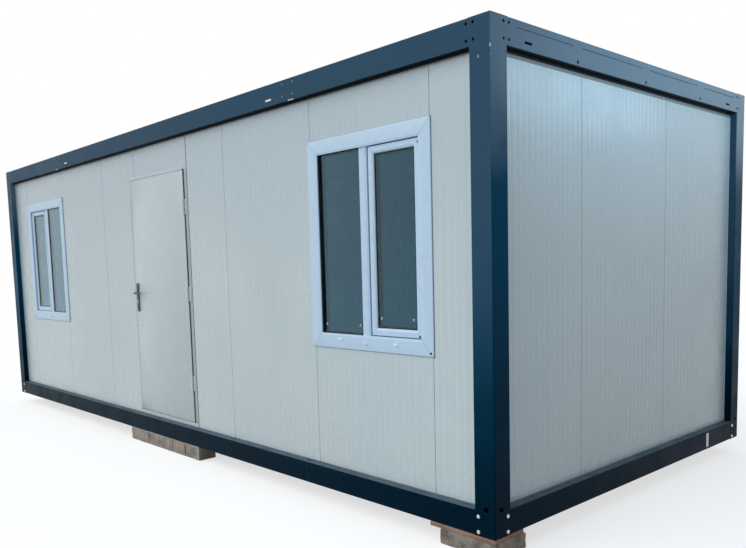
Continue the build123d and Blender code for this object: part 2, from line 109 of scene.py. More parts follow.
class CabinSizes(bpy.types.PropertyGroup):
    """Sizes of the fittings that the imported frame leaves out."""

    rib_pitch: length_setting("Rib pitch", 50 * mm, "Distance between the ribs of a wall panel")
    rib_width: length_setting("Rib width", 28 * mm, "Width of one pressed rib")
    rib_depth: length_setting("Rib depth", 0.9 * mm, "Depth of one pressed rib")
    trim_width: length_setting("Trim width", 89 * mm, "Width of the trim round a window")
    mitre_gap: length_setting("Mitre gap", 2.2 * mm, "Joint left open at a window's mitres")
    bolt_width: length_setting("Bolt width", 22 * mm, "Width of a round bolt head at a post's foot")
    knuckle_radius: length_setting("Hinge radius", 8 * mm, "Radius of a hinge's knuckles")
    lever_length: length_setting("Lever length", 128 * mm, "Reach of the handle's lever")
    round_steps: IntProperty(
        name="Round steps", description="Sides of a round fitting", default=24, min=8, max=64
    )


class CabinColours(bpy.types.PropertyGroup):
    """Colours of the finishes."""

    enamel: colour_setting("Enamel", "001a29", "Frame enamel near the ground")
    # Painted reflection: the enamel is painted lighter upwards from its dark colour near the ground, paler on the
    # ends and palest towards the back; the pale end colour also paints a highlight on the bends
    enamel_middle_reflection: colour_setting("Middle enamel", "00405d", "Frame enamel at half height")
    enamel_high_reflection: colour_setting("Faded enamel", "355064", "Frame enamel high on the long walls")
    enamel_highlight: colour_setting("Bleached enamel", "687a89", "Frame enamel high on the ends")
    enamel_far_highlight: colour_setting("Palest enamel", "929ea5", "Frame enamel high on the ends, towards the back")
    # Painted shade on the frame's undersides
    enamel_under_shade: colour_setting("Shaded enamel", "010c16", "Frame enamel on the undersides")
    # Pale colour of the spots at the near corner
    corner_spot: colour_setting("Chipped enamel", "c2d0d8", "Primer where the enamel is knocked off")
    dust: colour_setting("Dust", "6d808c", "Dust that lies on the frame's top faces")
    mud: colour_setting("Mud", "1d2b33", "Dry splashes near the ground")
    panel: colour_setting("Panel", "c5d0d2", "Coil coating of the wall panels")
    # Darker coil coating: random patches and streaks, and painted shade high on the long walls
    panel_shade_and_stain: colour_setting("Panel shade", "b3c1c8", "Coil coating where it is dulled")
    door_paint: colour_setting("Door", "c2cdcd", "Paint of the door and its frame")
    profile: colour_setting("Window profile", "bdd5ea", "Extruded window profiles")
    silicone: colour_setting("Silicone", "93aebd", "Clear pads on the panes")
    rubber: colour_setting("Rubber", "0c1820", "Seals and gaskets")
    glass: colour_setting("Glass", "b0dcec", "Tint of the window panes")
    zinc: colour_setting("Zinc", "c3c7ca", "Plated bolts and screws")
    galvanised: colour_setting("Galvanised", "a4abaf", "Dipped roof sheet")
    handle: colour_setting("Handle", "2a3338", "Moulded handle covers")
    block: colour_setting("Block", "a09890", "Weathered block")
    block_dark: colour_setting("Block shade", "6f6963", "Damp parts of a block")
    plank: colour_setting("Plank", "a27a5c", "Weathered plank")
    plank_dark: colour_setting("Plank grain", "5d4636", "Late wood of a plank")
    board: colour_setting("Packing board", "b5aea4", "Grey packing board")
    vinyl: colour_setting("Floor vinyl", "84867f", "Vinyl on the floor board")
    liner: colour_setting("Ceiling", "d4d6d4", "Coated ceiling liner")
    primer: colour_setting("Primer", "8b9195", "Primer on hidden steel")


def settings(context):
    """The cabin's sizes and colours in this scene."""
    return context.scene.cabin_sizes, context.scene.cabin_colours


# Shapes. A shell is its points as an array and its faces as lists of point numbers.

def in_mm(*points):
    """Points or lengths given in millimetres, as an array in metres."""
    return np.array(points, float) * mm


def loft(rings, closed=False):
    """Closed shell through rings of points: quads join each ring to the next, and either
    the last ring joins the first or both end rings are filled."""
    ring_count, point_count = rings.shape[:2]
    ring, point = np.meshgrid(
        np.arange(ring_count if closed else ring_count - 1), np.arange(point_count), indexing="ij"
    )
    here, there = ring * point_count, (ring + 1) % ring_count * point_count
    after = (point + 1) % point_count
    quads = np.stack([here + point, here + after, there + after, there + point], -1)
    faces = quads.reshape(-1, 4).tolist()
    if not closed:
        cap = np.arange(point_count)
        faces += [cap[::-1].tolist(), (cap + (ring_count - 1) * point_count).tolist()]
    return rings.reshape(-1, 3), faces


def rounded(corners, radius, steps=4):
    """Outline with its corners rounded: each corner becomes a parabola that starts and ends
    one radius along its two sides."""
    corners = np.array(corners, float)
    sides = [np.roll(corners, shift, 0) - corners for shift in (1, -1)]
    starts, ends = [
        corners + side * np.minimum(radius / np.linalg.norm(side, axis=1), 0.5)[:, None]
        for side in sides
    ]
    t = np.linspace(0, 1, steps)[None, :, None]
    curve = (
        (1 - t) ** 2 * starts[:, None] + 2 * t * (1 - t) * corners[:, None] + t ** 2 * ends[:, None]
    )
    return curve.reshape(-1, 2)


def rectangle(width, height):
    """The four corners of a rectangle round the origin."""
    return np.array([(-1, -1), (1, -1), (1, 1), (-1, 1)]) * (width / 2, height / 2)


def polygon(count, radius):
    """A regular polygon: the radius turned through equal angles."""
    angle = np.linspace(0, 2 * np.pi, count, endpoint=False)
    return radius * np.stack([np.cos(angle), np.sin(angle)], -1)


def layered(outline, layers):
    """Plate of one outline: each layer draws the outline in by its inset, along the
    outline's own normals, and lifts it to its height."""
    along = np.roll(outline, -1, 0) - np.roll(outline, 1, 0)
    normals = np.stack([along[:, 1], -along[:, 0]], -1)
    normals /= np.linalg.norm(normals, axis=1)[:, None]
    rings = [
        np.column_stack([outline - inset * normals, np.full(len(outline), height)])
        for inset, height in layers
    ]
    return loft(np.array(rings))


def turned(profile, steps):
    """Turned shape: the profile's radius and height carried round the axis."""
    radius, height = np.array(profile, float).T
    circle = polygon(steps, 1.0)
    rings = np.concatenate(
        [
            radius[:, None, None] * circle[None],
            np.broadcast_to(height[:, None, None], (len(radius), steps, 1)),
        ],
        -1,
    )
    return loft(rings)


def run(profile, start, end, across, up):
    """Bar: one profile carried straight from start to end. The profile's first number is
    measured along across and its second along up."""
    profile = np.array(profile, float)
    section = profile[:, :1] * np.array(across) + profile[:, 1:] * np.array(up)
    return loft(np.array([section + np.array(point) for point in (start, end)]))


def swept(path, widths, heights, up, steps):
    """Bent bar: an oval section carried along a path, its half widths lying across the path
    and its half heights along the up direction."""
    path, up = np.array(path, float), np.array(up, float)
    tangent = np.gradient(path, axis=0)
    tangent /= np.linalg.norm(tangent, axis=1)[:, None]
    side = np.cross(tangent, up)
    side /= np.linalg.norm(side, axis=1)[:, None]
    over = np.cross(side, tangent)
    circle = polygon(steps, 1.0)
    rings = (
        path[:, None]
        + circle[None, :, :1] * side[:, None] * np.array(widths)[:, None, None]
        + circle[None, :, 1:] * over[:, None] * np.array(heights)[:, None, None]
    )
    return loft(rings)


def placed(shell, origin, first, second, third):
    """Shell moved from its own axes to three directions at an origin."""
    points, faces = shell
    return points @ np.array([first, second, third], float) + np.array(origin, float), faces


def corner_rings(center, size, profile, wall_y):
    """Rings at the four corners of a rectangle in the front wall. The profile's first number
    goes inwards from the rectangle's edge, its second outwards from the wall."""
    inwards, outwards = np.array(profile, float).T
    signs = np.array([(-1, -1), (1, -1), (1, 1), (-1, 1)])
    return np.stack(
        [
            center[0] + signs[:, :1] * (size[0] / 2 - inwards),
            np.broadcast_to(wall_y - outwards, (4, len(inwards))),
            center[1] + signs[:, 1:] * (size[1] / 2 - inwards),
        ],
        -1,
    )


def ring(center, size, profile, wall_y):
    """One closed ring of a profile round a rectangle."""
    return loft(corner_rings(center, size, profile, wall_y), closed=True)


def mitred_bars(center, size, profile, wall_y, gap=0):
    """Four bars round a rectangle, cut at 45 degrees, half the gap short at each end."""
    rings = corner_rings(center, size, profile, wall_y)
    bars = []
    for corner in range(4):
        start, end = rings[corner], rings[(corner + 1) % 4]
        along = (end - start)[0] / np.linalg.norm((end - start)[0])
        bars.append(loft(np.array([start + along * gap / 2, end - along * gap / 2])))
    return bars


def slab(columns, rows, front, back, hole=None):
    """Closed slab on a grid of columns and rows: front and back give its two faces' depth at
    each column, cells inside the hole are left out, and every open edge gets a side face."""
    across, up = np.meshgrid(columns, rows)
    layers = [
        np.stack([across, up, np.broadcast_to(depth, across.shape)], -1) for depth in (front, back)
    ]
    kept = np.ones((len(rows) - 1, len(columns) - 1), bool)
    if hole is not None:
        middle_u = (columns[1:] + columns[:-1]) / 2
        middle_z = (rows[1:] + rows[:-1]) / 2
        inside_u = (middle_u > hole[0]) & (middle_u < hole[1])
        inside_z = (middle_z > hole[2]) & (middle_z < hole[3])
        kept = ~(inside_z[:, None] & inside_u[None, :])
    number = np.arange(across.size).reshape(across.shape)
    cells = np.stack([number[:-1, :-1], number[:-1, 1:], number[1:, 1:], number[1:, :-1]], -1)[kept]
    padded = np.pad(kept, 1)
    level = padded[:-1, 1:-1] != padded[1:, 1:-1]
    upright = padded[1:-1, :-1] != padded[1:-1, 1:]
    starts = np.concatenate([number[:, :-1][level], number[:-1, :][upright]])
    ends = np.concatenate([number[:, 1:][level], number[1:, :][upright]])
    sides = np.stack([starts, ends, ends + across.size, starts + across.size], -1)
    faces = np.concatenate([cells, cells[:, ::-1] + across.size, sides])
    return np.concatenate(layers).reshape(-1, 3), faces.tolist()


def add_piece(name, shells, material, body="cabin", replaces=(), smooth=30):
    """Joins the shells into one object, faces outward, and gives it to a body. Faces that
    meet at less than the smooth angle, in degrees, shade as one surface."""
    points, faces, count = [], [], 0
    for shell_points, shell_faces in shells:
        points.append(shell_points)
        faces += [[number + count for number in face] for face in shell_faces]
        count += len(shell_points)
    mesh = bpy.data.meshes.new(name)
    mesh.from_pydata(np.concatenate(points).tolist(), [], faces)
    tidy = bmesh.new()
    tidy.from_mesh(mesh)
    loose = [vertex for vertex in tidy.verts if not vertex.link_faces]
    bmesh.ops.delete(tidy, geom=loose, context="VERTS")
    bmesh.ops.recalc_face_normals(tidy, faces=tidy.faces)
    tidy.to_mesh(mesh)
    tidy.free()
    mesh.polygons.foreach_set("use_smooth", np.ones(len(mesh.polygons), bool))
    mesh.set_sharp_from_angle(angle=np.radians(smooth))
    mesh.materials.append(material)
    piece = bpy.data.objects.new(name, mesh)
    bpy.context.scene.collection.objects.link(piece)
    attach(piece, body)
    if replaces:
        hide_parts(*replaces)


def dress(nodes, material):
    """Gives CAD nodes a finish and leaves their shape alone."""
    for node in nodes:
        mesh = frame["nodes"][node].data
        mesh.materials.clear()
        mesh.materials.append(material)


def marks(node, axis):
    """The different places along one axis at which a CAD node has corners."""
    mesh = frame["nodes"][node].data
    points = np.zeros(len(mesh.vertices) * 3, np.float32)
    mesh.vertices.foreach_get("co", points)
    return np.unique(np.round(points.reshape(-1, 3)[:, axis].astype(float), 4))


# Finishes.

def add(tree, kind, inputs=None, **options):
    """Adds one shader node: sets its options, and sets or links each of its inputs."""
    node = tree.nodes.new("ShaderNode" + kind)
    for key, value in options.items():
        setattr(node, key, value)
    for key, value in (inputs or {}).items():
        if isinstance(value, bpy.types.NodeSocket):
            tree.links.new(value, node.inputs[key])
        else:
            node.inputs[key].default_value = value
    return node


def start_finish(name, colour, roughness, **plain):
    """A new material with its plain values on the shader, its nodes, and Object coordinates."""
    material = bpy.data.materials.new(name)
    material.use_nodes = True
    tree = material.node_tree
    shader = tree.nodes["Principled BSDF"]
    shader.inputs["Base Color"].default_value = (*colour, 1)
    shader.inputs["Roughness"].default_value = roughness
    for key, value in plain.items():
        shader.inputs[key.replace("_", " ")].default_value = value
    return material, tree, add(tree, "TexCoord").outputs["Object"]


def end_finish(material, coat=None, dulled=None, relief=None):
    """Links what varies over the surface: the coat's colour, a pattern that takes the roughness
    from one value to another, and a pattern raised with a strength and a depth."""
    tree = material.node_tree
    shader = tree.nodes["Principled BSDF"]
    if coat:
        tree.links.new(coat, shader.inputs["Base Color"])
    if dulled:
        spread = add(tree, "MapRange", dict(zip(("Value", "To Min", "To Max"), dulled)))
        tree.links.new(spread.outputs[0], shader.inputs["Roughness"])
    if relief:
        bump = add(tree, "Bump", dict(zip(("Height", "Strength", "Distance"), relief)))
        tree.links.new(bump.outputs[0], shader.inputs["Normal"])
    return material


def patches(tree, place, size, low=0.4, high=0.6, stretch=(1, 1, 1), detail=3.0):
    """Soft patches from 0 to 1: noise whose features are size metres across, stretched along
    the axes, with its values from low to high spread over the whole range."""
    scale = tuple(1 / (size * factor) for factor in stretch)
    spread = add(tree, "Mapping", {"Vector": place, "Scale": scale})
    noise = add(tree, "TexNoise", {"Vector": spread.outputs[0], "Scale": 1.0, "Detail": detail})
    ramp = {"Value": noise.outputs[0], "From Min": low, "From Max": high}
    return add(tree, "MapRange", ramp, interpolation_type="SMOOTHSTEP").outputs[0]


def laid_over(tree, coat, colour, *shares):
    """A colour laid over a coat: mixed in by the product of the shares, each from 0 to 1."""
    share = shares[0]
    for factor in shares[1:]:
        share = add(tree, "Math", {0: share, 1: factor}, operation="MULTIPLY").outputs[0]
    coat, colour = [c if isinstance(c, bpy.types.NodeSocket) else (*c, 1) for c in (coat, colour)]
    return add(tree, "Mix", {0: share, 6: coat, 7: colour}, data_type="RGBA").outputs[2]


def near_ground(tree, place, height):
    """1 at the ground, falling to 0 at a height."""
    level = add(tree, "SeparateXYZ", {0: place}).outputs["Z"]
    fall = {"Value": level, "From Min": height, "From Max": 0.08}
    return add(tree, "MapRange", fall, interpolation_type="SMOOTHSTEP").outputs[0]


# Pale spots at the near corner, with each spot's half width and its share
corner_spots = (
    ((3.5, -1.5, 2.507), 6 * mm, 1.0),
    ((3.5, -1.5, 2.466), 4 * mm, 0.5),
    ((3.427, -1.5, 2.469), 5 * mm, 0.5),
)
corner_spot_slimness = 0.45


def stoved_enamel(colours):
    """Enamel stoved on cold-formed steel: a dark blue coat with a soft sheen. It is painted
    lighter upwards on the long walls and paler on the ends, most of all towards the back: painted
    reflection of the sky. Its top faces hold dust, dry splashes lie near the ground, its bends
    carry a painted highlight and its undersides painted shade, and it has pale spots at the near corner."""
    material, tree, place = start_finish(
        "stoved_enamel", colours.enamel, 0.34, Specular_IOR_Level=0.03,
        Specular_Tint=(*linear("4f93c8"), 1), Sheen_Weight=0.03, Sheen_Roughness=0.35,
        Sheen_Tint=(*linear("a9c6d8"), 1),
    )
    position = add(tree, "SeparateXYZ", {0: place}).outputs
    wander = {"Value": patches(tree, place, 0.7), "To Min": -0.08, "To Max": 0.08}
    wander = add(tree, "MapRange", wander).outputs[0]
    level = add(tree, "Math", {0: position["Z"], 1: wander}, operation="ADD").outputs[0]
    facing = add(tree, "SeparateXYZ", {0: add(tree, "NewGeometry").outputs["Normal"]}).outputs
    on_end = add(tree, "Math", {0: facing["X"]}, operation="ABSOLUTE").outputs[0]
    off_end = add(tree, "Math", {0: 1.0, 1: on_end}, operation="SUBTRACT").outputs[0]
    backwards = {"Value": position["Y"], "From Min": -1.5, "From Max": 1.5}
    backwards = add(tree, "MapRange", backwards).outputs[0]
    # Painted reflection on the ends, paler towards the back
    end_highlight = laid_over(tree, colours.enamel_highlight, colours.enamel_far_highlight, backwards)
    coat = colours.enamel
    # Painted reflection: the coat is painted lighter with height, on the long walls and on the ends
    for start, end, colour, *where in (
        (0.1, 1.7, colours.enamel_middle_reflection),
        (0.5, 1.9, colours.enamel_high_reflection, off_end),
        (1.75, 2.55, end_highlight, on_end),
    ):
        height = {"Value": level, "From Min": start, "From Max": end}
        risen = add(tree, "MapRange", height, interpolation_type="SMOOTHSTEP").outputs[0]
        coat = laid_over(tree, coat, colour, risen, *where)
    shortened = (1, 1, corner_spot_slimness)
    squashed = add(tree, "VectorMath", {0: place, 1: shortened}, operation="MULTIPLY").outputs[0]
    for corner_spot, reach, share in corner_spots:
        middle = tuple(np.multiply(corner_spot, shortened).tolist())
        away = add(tree, "VectorMath", {0: squashed, 1: middle}, operation="DISTANCE").outputs["Value"]
        bare = {"Value": away, "From Min": reach, "From Max": 0.6 * reach, "To Max": share}
        coat = laid_over(tree, coat, colours.corner_spot, add(tree, "MapRange", bare).outputs[0])
    # Painted highlight: a pale line along the horizontal bends, below the roof's edge
    slope = add(tree, "Math", {0: facing["Z"]}, operation="ABSOLUTE").outputs[0]
    bend = add(tree, "MapRange", {"Value": slope, "From Min": 0.15, "From Max": 0.4}).outputs[0]
    below_roof = add(tree, "MapRange", {"Value": level, "From Min": 2.63, "From Max": 2.58}).outputs[0]
    coat = laid_over(tree, coat, colours.enamel_highlight, bend, below_roof, 0.4)
    # Painted shade: the undersides are painted near black
    under = add(tree, "MapRange", {"Value": facing["Z"], "From Min": -0.8, "From Max": -0.95})
    coat = laid_over(tree, coat, colours.enamel_under_shade, under.outputs[0])
    upper = add(tree, "MapRange", {"Value": facing["Z"], "From Min": 0.6, "From Max": 1.0}).outputs[0]
    coat = laid_over(tree, coat, colours.dust, upper, patches(tree, place, 0.09, 0.2, 0.75), 0.4)
    splashes = patches(tree, place, 0.03, 0.52, 0.66)
    coat = laid_over(tree, coat, colours.mud, near_ground(tree, place, 0.4), splashes, 0.07)
    peel = add(tree, "TexNoise", {"Vector": place, "Scale": 1 / (4 * mm), "Detail": 1.0}).outputs[0]
    return end_finish(material, coat, (patches(tree, place, 0.2), 0.3, 0.42), (peel, 0.06, 0.3 * mm))


def coated_sheet(name, colour, shade):
    """Coil-coated steel sheet, roll-formed: smooth and rather glossy, so that its slight
    waviness shows in what it mirrors. It is painted darker high on the long walls as painted
    shade, with faint run-off streaks and with splashes at the foot."""
    material, tree, place = start_finish(name, colour, 0.27)
    level = add(tree, "SeparateXYZ", {0: place}).outputs["Z"]
    # Painted shade: darker and bluer high on the long walls
    height = {"Value": level, "From Min": 1.3, "From Max": 2.5}
    upper = add(tree, "MapRange", height, interpolation_type="SMOOTHSTEP").outputs[0]
    facing = add(tree, "SeparateXYZ", {0: add(tree, "NewGeometry").outputs["Normal"]}).outputs
    on_long_wall = add(tree, "Math", {0: facing["Y"]}, operation="ABSOLUTE").outputs[0]
    coat = laid_over(tree, colour, shade, upper, on_long_wall, 0.8)
    coat = laid_over(tree, coat, shade, patches(tree, place, 0.9, 0.3, 0.7), 0.35)
    streaks = patches(tree, place, 0.03, 0.55, 0.75, stretch=(1, 1, 30))
    coat = laid_over(tree, coat, shade, streaks, 0.25)
    splashes = patches(tree, place, 0.05, 0.45, 0.7)
    coat = laid_over(tree, coat, linear("8d8f8a"), near_ground(tree, place, 0.75), splashes, 0.14)
    wave = add(tree, "TexNoise", {"Vector": place, "Scale": 1 / 0.28, "Detail": 1.0}).outputs[0]
    return end_finish(material, coat, (patches(tree, place, 0.35), 0.2, 0.32), (wave, 0.35, 2.5 * mm))


def extruded_pvc(colours):
    """Unplasticised PVC, extruded: white with a cool cast and an even satin skin, a little
    dulled by dust in patches."""
    material, tree, place = start_finish("extruded_pvc", colours.profile, 0.33, IOR=1.53)
    grime = patches(tree, place, 0.06, 0.45, 0.75)
    coat = laid_over(tree, colours.profile, linear("b3bec8"), grime, 0.22)
    skin = add(tree, "TexNoise", {"Vector": place, "Scale": 1 / (3 * mm), "Detail": 2.0}).outputs[0]
    return end_finish(material, coat, relief=(skin, 0.05, 0.2 * mm))


def extruded_rubber(colours):
    """EPDM rubber, extruded: near black and dull, greyer where dust has settled."""
    material, tree, place = start_finish("extruded_rubber", colours.rubber, 0.6, Specular_IOR_Level=0.15)
    coat = laid_over(tree, colours.rubber, linear("3c4144"), patches(tree, place, 0.02), 0.25)
    return end_finish(material, coat)


def float_glass(colours):
    """Float glass, two panes: clear with a grey-green cast, mirror smooth on both faces but for
    a thin film of dirt."""
    material, tree, place = start_finish(
        "float_glass", colours.glass, 0.0, IOR=1.52, Transmission_Weight=1.0, Specular_IOR_Level=0.7,
        Specular_Tint=(*linear("b9dcec"), 1),
    )
    return end_finish(material, dulled=(patches(tree, place, 0.12, 0.5, 0.8), 0.0, 0.05))


def plated_zinc(colours):
    """Zinc-plated steel, bright-dipped: pale grey metal, its shine broken by a fine bloom."""
    material, tree, place = start_finish("plated_zinc", colours.zinc, 0.3, Metallic=1.0)
    bloom = patches(tree, place, 6 * mm)
    coat = laid_over(tree, colours.zinc, linear("8f9496"), bloom, 0.5)
    return end_finish(material, coat, (bloom, 0.22, 0.42))


def dipped_galvanised(colours):
    """Hot-dip galvanised sheet: grey zinc grown in flat crystals about 12 mm across, each a
    slightly different tone and shine, dusted over by the weather."""
    material, tree, place = start_finish("dipped_galvanised", colours.galvanised, 0.42, Metallic=0.85)
    crystal = add(tree, "TexVoronoi", {"Vector": place, "Scale": 1 / (12 * mm)})
    tone = add(tree, "SeparateColor", {0: crystal.outputs["Color"]}).outputs[0]
    coat = laid_over(tree, colours.galvanised, linear("868e93"), tone, 0.5)
    coat = laid_over(tree, coat, colours.dust, patches(tree, place, 0.4, 0.35, 0.7), 0.45)
    return end_finish(material, coat, (tone, 0.34, 0.52))


def moulded_nylon(colours):
    """Glass-filled nylon, moulded over steel: black, with a fine spark-eroded grain that
    keeps its highlights soft, and a greyer polish where hands wear it."""
    material, tree, place = start_finish("moulded_nylon", colours.handle, 0.42)
    coat = laid_over(tree, colours.handle, linear("2c2f33"), patches(tree, place, 15 * mm), 0.3)
    grain = add(tree, "TexVoronoi", {"Vector": place, "Scale": 1 / (0.8 * mm)}).outputs[0]
    return end_finish(material, coat, relief=(grain, 0.2, 0.1 * mm))


def cast_concrete(name, colour, dark):
    """Cast concrete block, weathered: grey with a warm cast, sandy and pitted, with damp
    and darker patches a hand wide."""
    material, tree, place = start_finish(name, colour, 0.9)
    coat = laid_over(tree, colour, dark, patches(tree, place, 0.07, 0.38, 0.62, detail=6.0))
    coat = laid_over(tree, coat, linear("b3937f"), patches(tree, place, 0.16, 0.45, 0.6), 0.5)
    sand = patches(tree, place, 5 * mm, 0.35, 0.65, detail=2.0)
    coat = laid_over(tree, coat, linear("c2b8ac"), sand, 0.3)
    pits = add(tree, "TexVoronoi", {"Vector": place, "Scale": 1 / (9 * mm)}).outputs[0]
    rough = add(tree, "Math", {0: pits, 1: sand}, operation="ADD").outputs[0]
    return end_finish(material, coat, relief=(rough, 0.7, 2 * mm))


def sawn_timber(name, colour, dark):
    """Sawn softwood, left outdoors: straight grain about 6 mm wide along the length, furred
    by the saw and greyed in patches."""
    material, tree, place = start_finish(name, colour, 0.8)
    grain = patches(tree, place, 6 * mm, 0.35, 0.65, stretch=(40, 1, 1), detail=4.0)
    coat = laid_over(tree, colour, dark, grain, 0.75)
    coat = laid_over(tree, coat, linear("8b867d"), patches(tree, place, 0.08, 0.45, 0.65), 0.45)
    return end_finish(material, coat, relief=(grain, 0.5, 0.8 * mm))


def plain_coat(name, colour, roughness, speck, share):
    """Plain coat with fine specks, a few millimetres across: even and matt enough to show no
    mirror image."""
    material, tree, place = start_finish(name, colour, roughness)
    coat = laid_over(tree, colour, linear("5f6464"), patches(tree, place, speck * mm, 0.55, 0.65), share)
    coat = laid_over(tree, coat, linear("a9a9a4"), patches(tree, place, 0.5), 0.12)
    return end_finish(material, coat)


# Plain coats of small parts: colour, roughness, size of the specks in millimetres and their share
small_coats = {
    # Zinc plating gone grey and dull in the weather
    "dulled_zinc": ("7d93a1", 0.5, 4, 0.2),
    # Black rubber without shine: painted shade in the holes and in the door's hinge gap, and a dark joint line at
    # the door jamb
    "shade_and_joint_black": ("05131e", 0.9, 5, 0.1),
    # Dark fill along the pressed grooves: painted shade
    "groove_shade_fill": ("3a5062", 0.9, 5, 0.3),
    # Near-white strip: painted light seen through the slots and notches
    "slot_light_white": ("eef4f6", 0.5, 5, 0.1),
    # Printed marker film, bare and bright
    "marker_film": ("fbfbf7", 0.4, 5, 0.1),
    # Pale beads beside the posts, and grey beads that paint the shade along the wall's foot and round the windows'
    # trim
    "pale_post_bead": ("c8d8e2", 0.45, 5, 0.2),
    "grey_shade_bead": ("46545f", 0.5, 5, 0.2),
    # Grey strip along the head of a wall: painted shade under the beam
    "head_shade_grey": ("8e9091", 0.5, 5, 0.2),
    # Moulded nylon caps, white and a little glossy
    "white_nylon": ("e6f0f7", 0.4, 5, 0.1),
    # Bulb seal, grey and soft
    "grey_rubber": ("8b969b", 0.6, 4, 0.2),
    # Steel jamb beside the hinges, painted darker grey: painted shade
    "jamb_shade_grey": ("a0abb1", 0.45, 5, 0.2),
}


def small_coat(name):
    """The plain coat of that name, made the first time that it is asked for."""
    colour, *grain = small_coats[name]
    return bpy.data.materials.get(name) or plain_coat(name, linear(colour), *grain)


# Builders.

class CABIN_OT_steelwork(bpy.types.Operator):
    """Give the steel frame its enamel, and add its bolts, plugs, fillers, plates and strips"""

    bl_idname = "cabin.steelwork"
    bl_label = "Steelwork"

    def execute(self, context):
        sizes, colours = settings(context)
        enamel = stoved_enamel(colours)
        subparts = frame["record"]["subparts"]
        dress([part["node"] for part in subparts if part["material_slot"] == "frame_steel"], enamel)
        half = cad_bounds[1]
        bottom_beam, top_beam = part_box("front_bottom_beam")[0].z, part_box("front_top_beam")[0].z
        long_faces, end_faces = (FRONT, BACK), (LEFT, RIGHT)

        def fixings(faces, places, heights, *shells):
            """Copies of the shells on two opposite faces, in a column at each place along them."""
            return [
                placed(shell, outwards * (half.x, half.y, 0) + along * place + up * z, along, up, outwards)
                for along, up, outwards in (np.array(sides[face], float) for face in faces)
                for place in places for z in heights for shell in shells
            ]

        def from_ends(*setbacks):
            """Places along a long face, set back in millimetres from both of its ends."""
            return [sign * (half.x - setback) for sign in (-1, 1) for setback in in_mm(*setbacks)]

        def add_steel(name, shells, material):
            add_piece(name, shells, material)

        # A round head for the posts' feet, and a small hexagon head on a washer for the splices
        dome_curve = np.array([(1, 0), (1, 1.6), (0.92, 3.6), (0.74, 5.4), (0.45, 6.7), (0.12, 7.2)])
        dome = turned(dome_curve * (sizes.bolt_width / 2, mm), sizes.round_steps)
        washer = turned(in_mm((6, 0), (6, 1), (5.4, 1.4)), sizes.round_steps)
        hexagon = layered(polygon(6, 5 * mm), in_mm((0, 1.4), (0, 5), (0.8, 5.6), (2.4, 5.7)))
        foot_rows = bottom_beam + in_mm(101, 20)
        post_inset = 105 * mm
        post_bolts = fixings(long_faces, from_ends(105), foot_rows, dome)
        post_bolts += fixings(end_faces, (post_inset - half.y, half.y - post_inset), foot_rows, dome)
        splice_rows = half.z - in_mm(29, 102)
        splice_bolts = fixings(long_faces, from_ends(1524, 1630), splice_rows, washer, hexagon)
        foot_splice_rows = bottom_beam + in_mm(108, 33)
        foot_splice_bolts = fixings(long_faces, from_ends(1517, 1583), foot_splice_rows, washer, hexagon)
        add_steel("post_bolts", post_bolts, plated_zinc(colours))
        add_steel("top_splice_bolts", splice_bolts, small_coat("dulled_zinc"))
        add_steel("bottom_splice_bolts", foot_splice_bolts, enamel)

        # Black rubber plugs in the service holes and the splice holes, and dark strips along the pressed grooves:
        # both painted shade
        def plug(radius, rim):
            """Plug that fills a hole, with a thin rim on the face, both in millimetres."""
            curve = (radius, -1.8), (radius, 0.02), (radius + rim, 0.02), (radius + rim, 0.3), (1, 0.5)
            return turned(in_mm(*curve), sizes.round_steps)

        groove_stops = in_mm(-1345, -750, 0, 750, 1345)
        service_row = half.z - 115 * mm
        hole_shade_plugs = fixings(end_faces, groove_stops[1:-1], (service_row,), plug(8.8, 1.8))
        hole_shade_plugs += fixings(long_faces, from_ends(1577), splice_rows, plug(7.8, 1))
        shade_section = rectangle(0.6 * mm, 4.6 * mm)
        groove_shade_strips = [
            run(shade_section, (x, start + 46 * mm, half.z - 38 * mm), (x, end - 46 * mm, half.z - 38 * mm),
                (1, 0, 0), (0, 0, 1))
            for x in (1.1 * mm - half.x, half.x - 1.1 * mm)
            for start, end in zip(groove_stops, groove_stops[1:])
        ]
        add_steel("hole_shade_plugs", hole_shade_plugs, small_coat("shade_and_joint_black"))
        add_steel("groove_shade_strips", groove_shade_strips, small_coat("groove_shade_fill"))

        # Butt joints between the posts and the beams, filled flush and enamelled over
        joint_x, joint_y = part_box("front_top_beam")[1].x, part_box("right_end_top_beam")[1].y
        filler, depth = rectangle(9 * mm, 3.4 * mm), 1.75 * mm
        across, along = (1, 0, 0), (0, 1, 0)
        places = ((joint_x, half.y - depth, across, along), (half.x - depth, joint_y, along, across))
        fillers = [
            run(filler, *[(x_sign * x, y_sign * y, bottom + rise) for rise in in_mm(0.3, 134.7)], *axes)
            for bottom in (bottom_beam, top_beam) for x_sign in (-1, 1) for y_sign in (-1, 1)
            for x, y, *axes in places
        ]
        add_steel("joint_fillers", fillers, enamel)

        # Near-white strips in the slots and notches, painted light seen through them, and splice plates against
        # the webs from behind
        def bars(setback, depth, level, *size):
            """Bars along the long faces at a depth behind them, set back from both ends: a size
            is the length, thickness and height in millimetres."""
            length, thick, tall = in_mm(*size)
            return [
                run(rectangle(thick, tall), (x - length / 2, y, level), (x + length / 2, y, level),
                    (0, 1, 0), (0, 0, 1))
                for y in (depth * mm - half.y, half.y - depth * mm) for x in from_ends(setback)
            ]

        slot_light_strips = bars(1789, 2.4, half.z - 97 * mm, 61, 3, 11.4)
        notch_light_strips = bars(1551, 2.4, top_beam + 2.6 * mm, 57, 3, 4.6)
        add_steel("slot_light_strips", slot_light_strips + notch_light_strips, small_coat("slot_light_white"))
        plates = [
            plate for level in (half.z - 68 * mm, bottom_beam + 68 * mm)
            for plate in bars(1577, 5.6, level, 180, 5, 110)
        ]
        add_steel("splice_plates", plates, enamel)

